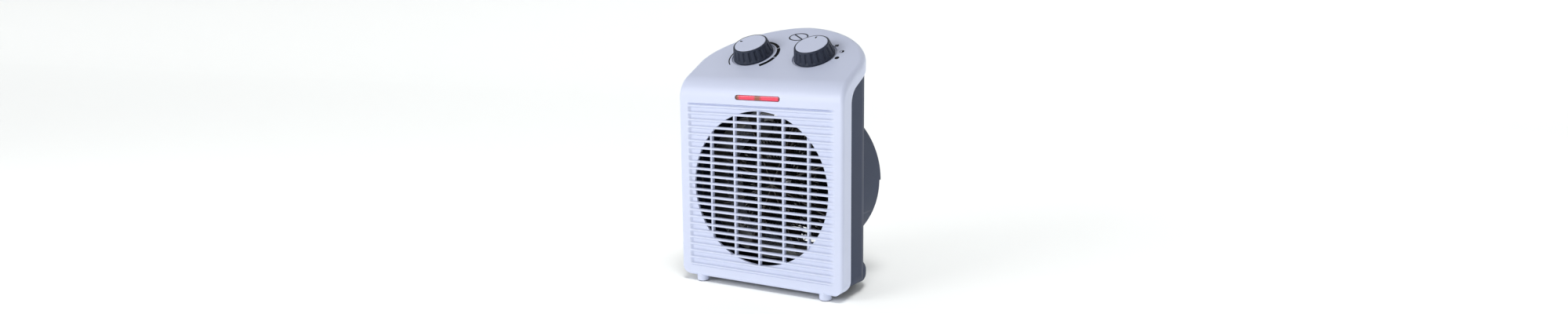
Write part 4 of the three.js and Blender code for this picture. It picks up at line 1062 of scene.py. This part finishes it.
# ---------------------------------------------------------------- floor, light and camera, in metres
def studio_floor(half_width=12, front=-12.0, bend_start=1.6, bend_radius=1.5, top=5.0):
    """A pale floor that curves up into a backdrop."""
    bend = arc(bend_start, bend_radius, bend_radius, -math.pi / 2, 0, 16)
    profile = [(front, 0.0), *bend, (bend_start + bend_radius, top)]
    points = [(x, y, z) for y, z in profile for x in (-half_width, half_width)]
    mesh = bpy.data.meshes.new("floor")
    mesh.from_pydata(points, [], grid_faces(len(profile), 2))
    mesh.shade_smooth()
    mesh.materials.append(shader("floor", (0.80, 0.81, 0.80), 0.7)[0])
    floor = bpy.data.objects.new("floor", mesh)
    bpy.context.scene.collection.objects.link(floor)
    return floor


def studio_world(horizon=0.66, zenith=0.46):
    """An even pale surround, dimmer overhead."""
    world = bpy.data.worlds.new("studio")
    bpy.context.scene.world = world
    world.use_nodes = True
    nodes, links = world.node_tree.nodes, world.node_tree.links
    nodes["Background"].inputs["Color"].default_value = (0.97, 0.98, 1.0, 1)
    direction = nodes.new("ShaderNodeTexCoord")
    height = nodes.new("ShaderNodeSeparateXYZ")
    dimming = nodes.new("ShaderNodeMapRange")
    dimming.inputs["To Min"].default_value = horizon
    dimming.inputs["To Max"].default_value = zenith
    links.new(direction.outputs["Generated"], height.inputs["Vector"])
    links.new(height.outputs["Z"], dimming.inputs["Value"])
    links.new(dimming.outputs["Result"], nodes["Background"].inputs["Strength"])


def area_light(name, place, target, size, power):
    """A square lamp at a place, facing a target."""
    data = bpy.data.lights.new(name, "AREA")
    data.shape = "RECTANGLE"
    data.size = size
    data.size_y = size
    data.energy = power
    light = bpy.data.objects.new(name, data)
    light.location = place
    light.rotation_euler = (Vector(target) - Vector(place)).to_track_quat("-Z", "Y").to_euler()
    bpy.context.scene.collection.objects.link(light)


def floor_wash(floor):
    """A soft sun that lights only the floor, so that the heater's shadow stays on a bright ground."""
    data = bpy.data.lights.new("floor_wash", "SUN")
    data.energy = 2.0
    data.angle = math.radians(20)
    sun = bpy.data.objects.new("floor_wash", data)
    sun.rotation_euler = Vector((-0.20, 0.30, -0.93)).to_track_quat("-Z", "Y").to_euler()
    bpy.context.scene.collection.objects.link(sun)
    floor_only = bpy.data.collections.new("floor_only")
    floor_only.objects.link(floor)
    sun.light_linking.receiver_collection = floor_only


def studio_camera(place, azimuth, elevation, roll, lens_mm):
    """A camera that looks back along the azimuth, down by the elevation; angles in degrees."""
    azimuth, elevation, roll = math.radians(azimuth), math.radians(elevation), math.radians(roll)
    level = Vector((math.cos(azimuth), math.sin(azimuth), 0))
    heading = Vector((-math.sin(azimuth), math.cos(azimuth), 0))
    ahead = heading * math.cos(elevation) - Vector((0, 0, math.sin(elevation)))
    upward = level.cross(ahead)
    right = level * math.cos(roll) + upward * math.sin(roll)
    up = upward * math.cos(roll) - level * math.sin(roll)
    data = bpy.data.cameras.new("camera")
    data.sensor_width = 36
    data.lens = lens_mm
    data.clip_end = 50
    camera = bpy.data.objects.new("camera", data)
    rotation = Matrix((right, up, -ahead)).transposed().to_4x4()
    camera.matrix_world = Matrix.Translation(place) @ rotation
    bpy.context.scene.collection.objects.link(camera)
    bpy.context.scene.camera = camera


floor = studio_floor()
studio_world()
area_light("key", (-0.75, -1.55, 0.75), (0, 0, 0.12), 0.9, 13.6)
area_light("rim", (0.9, 1.3, 0.7), (0, 0, 0.1), 0.7, 1.8)
floor_wash(floor)
studio_camera((0.4776, -0.8149, 0.2690), 30.46, 8.79, -0.37, 22.28)
bpy.context.scene.view_settings.view_transform = "Standard"
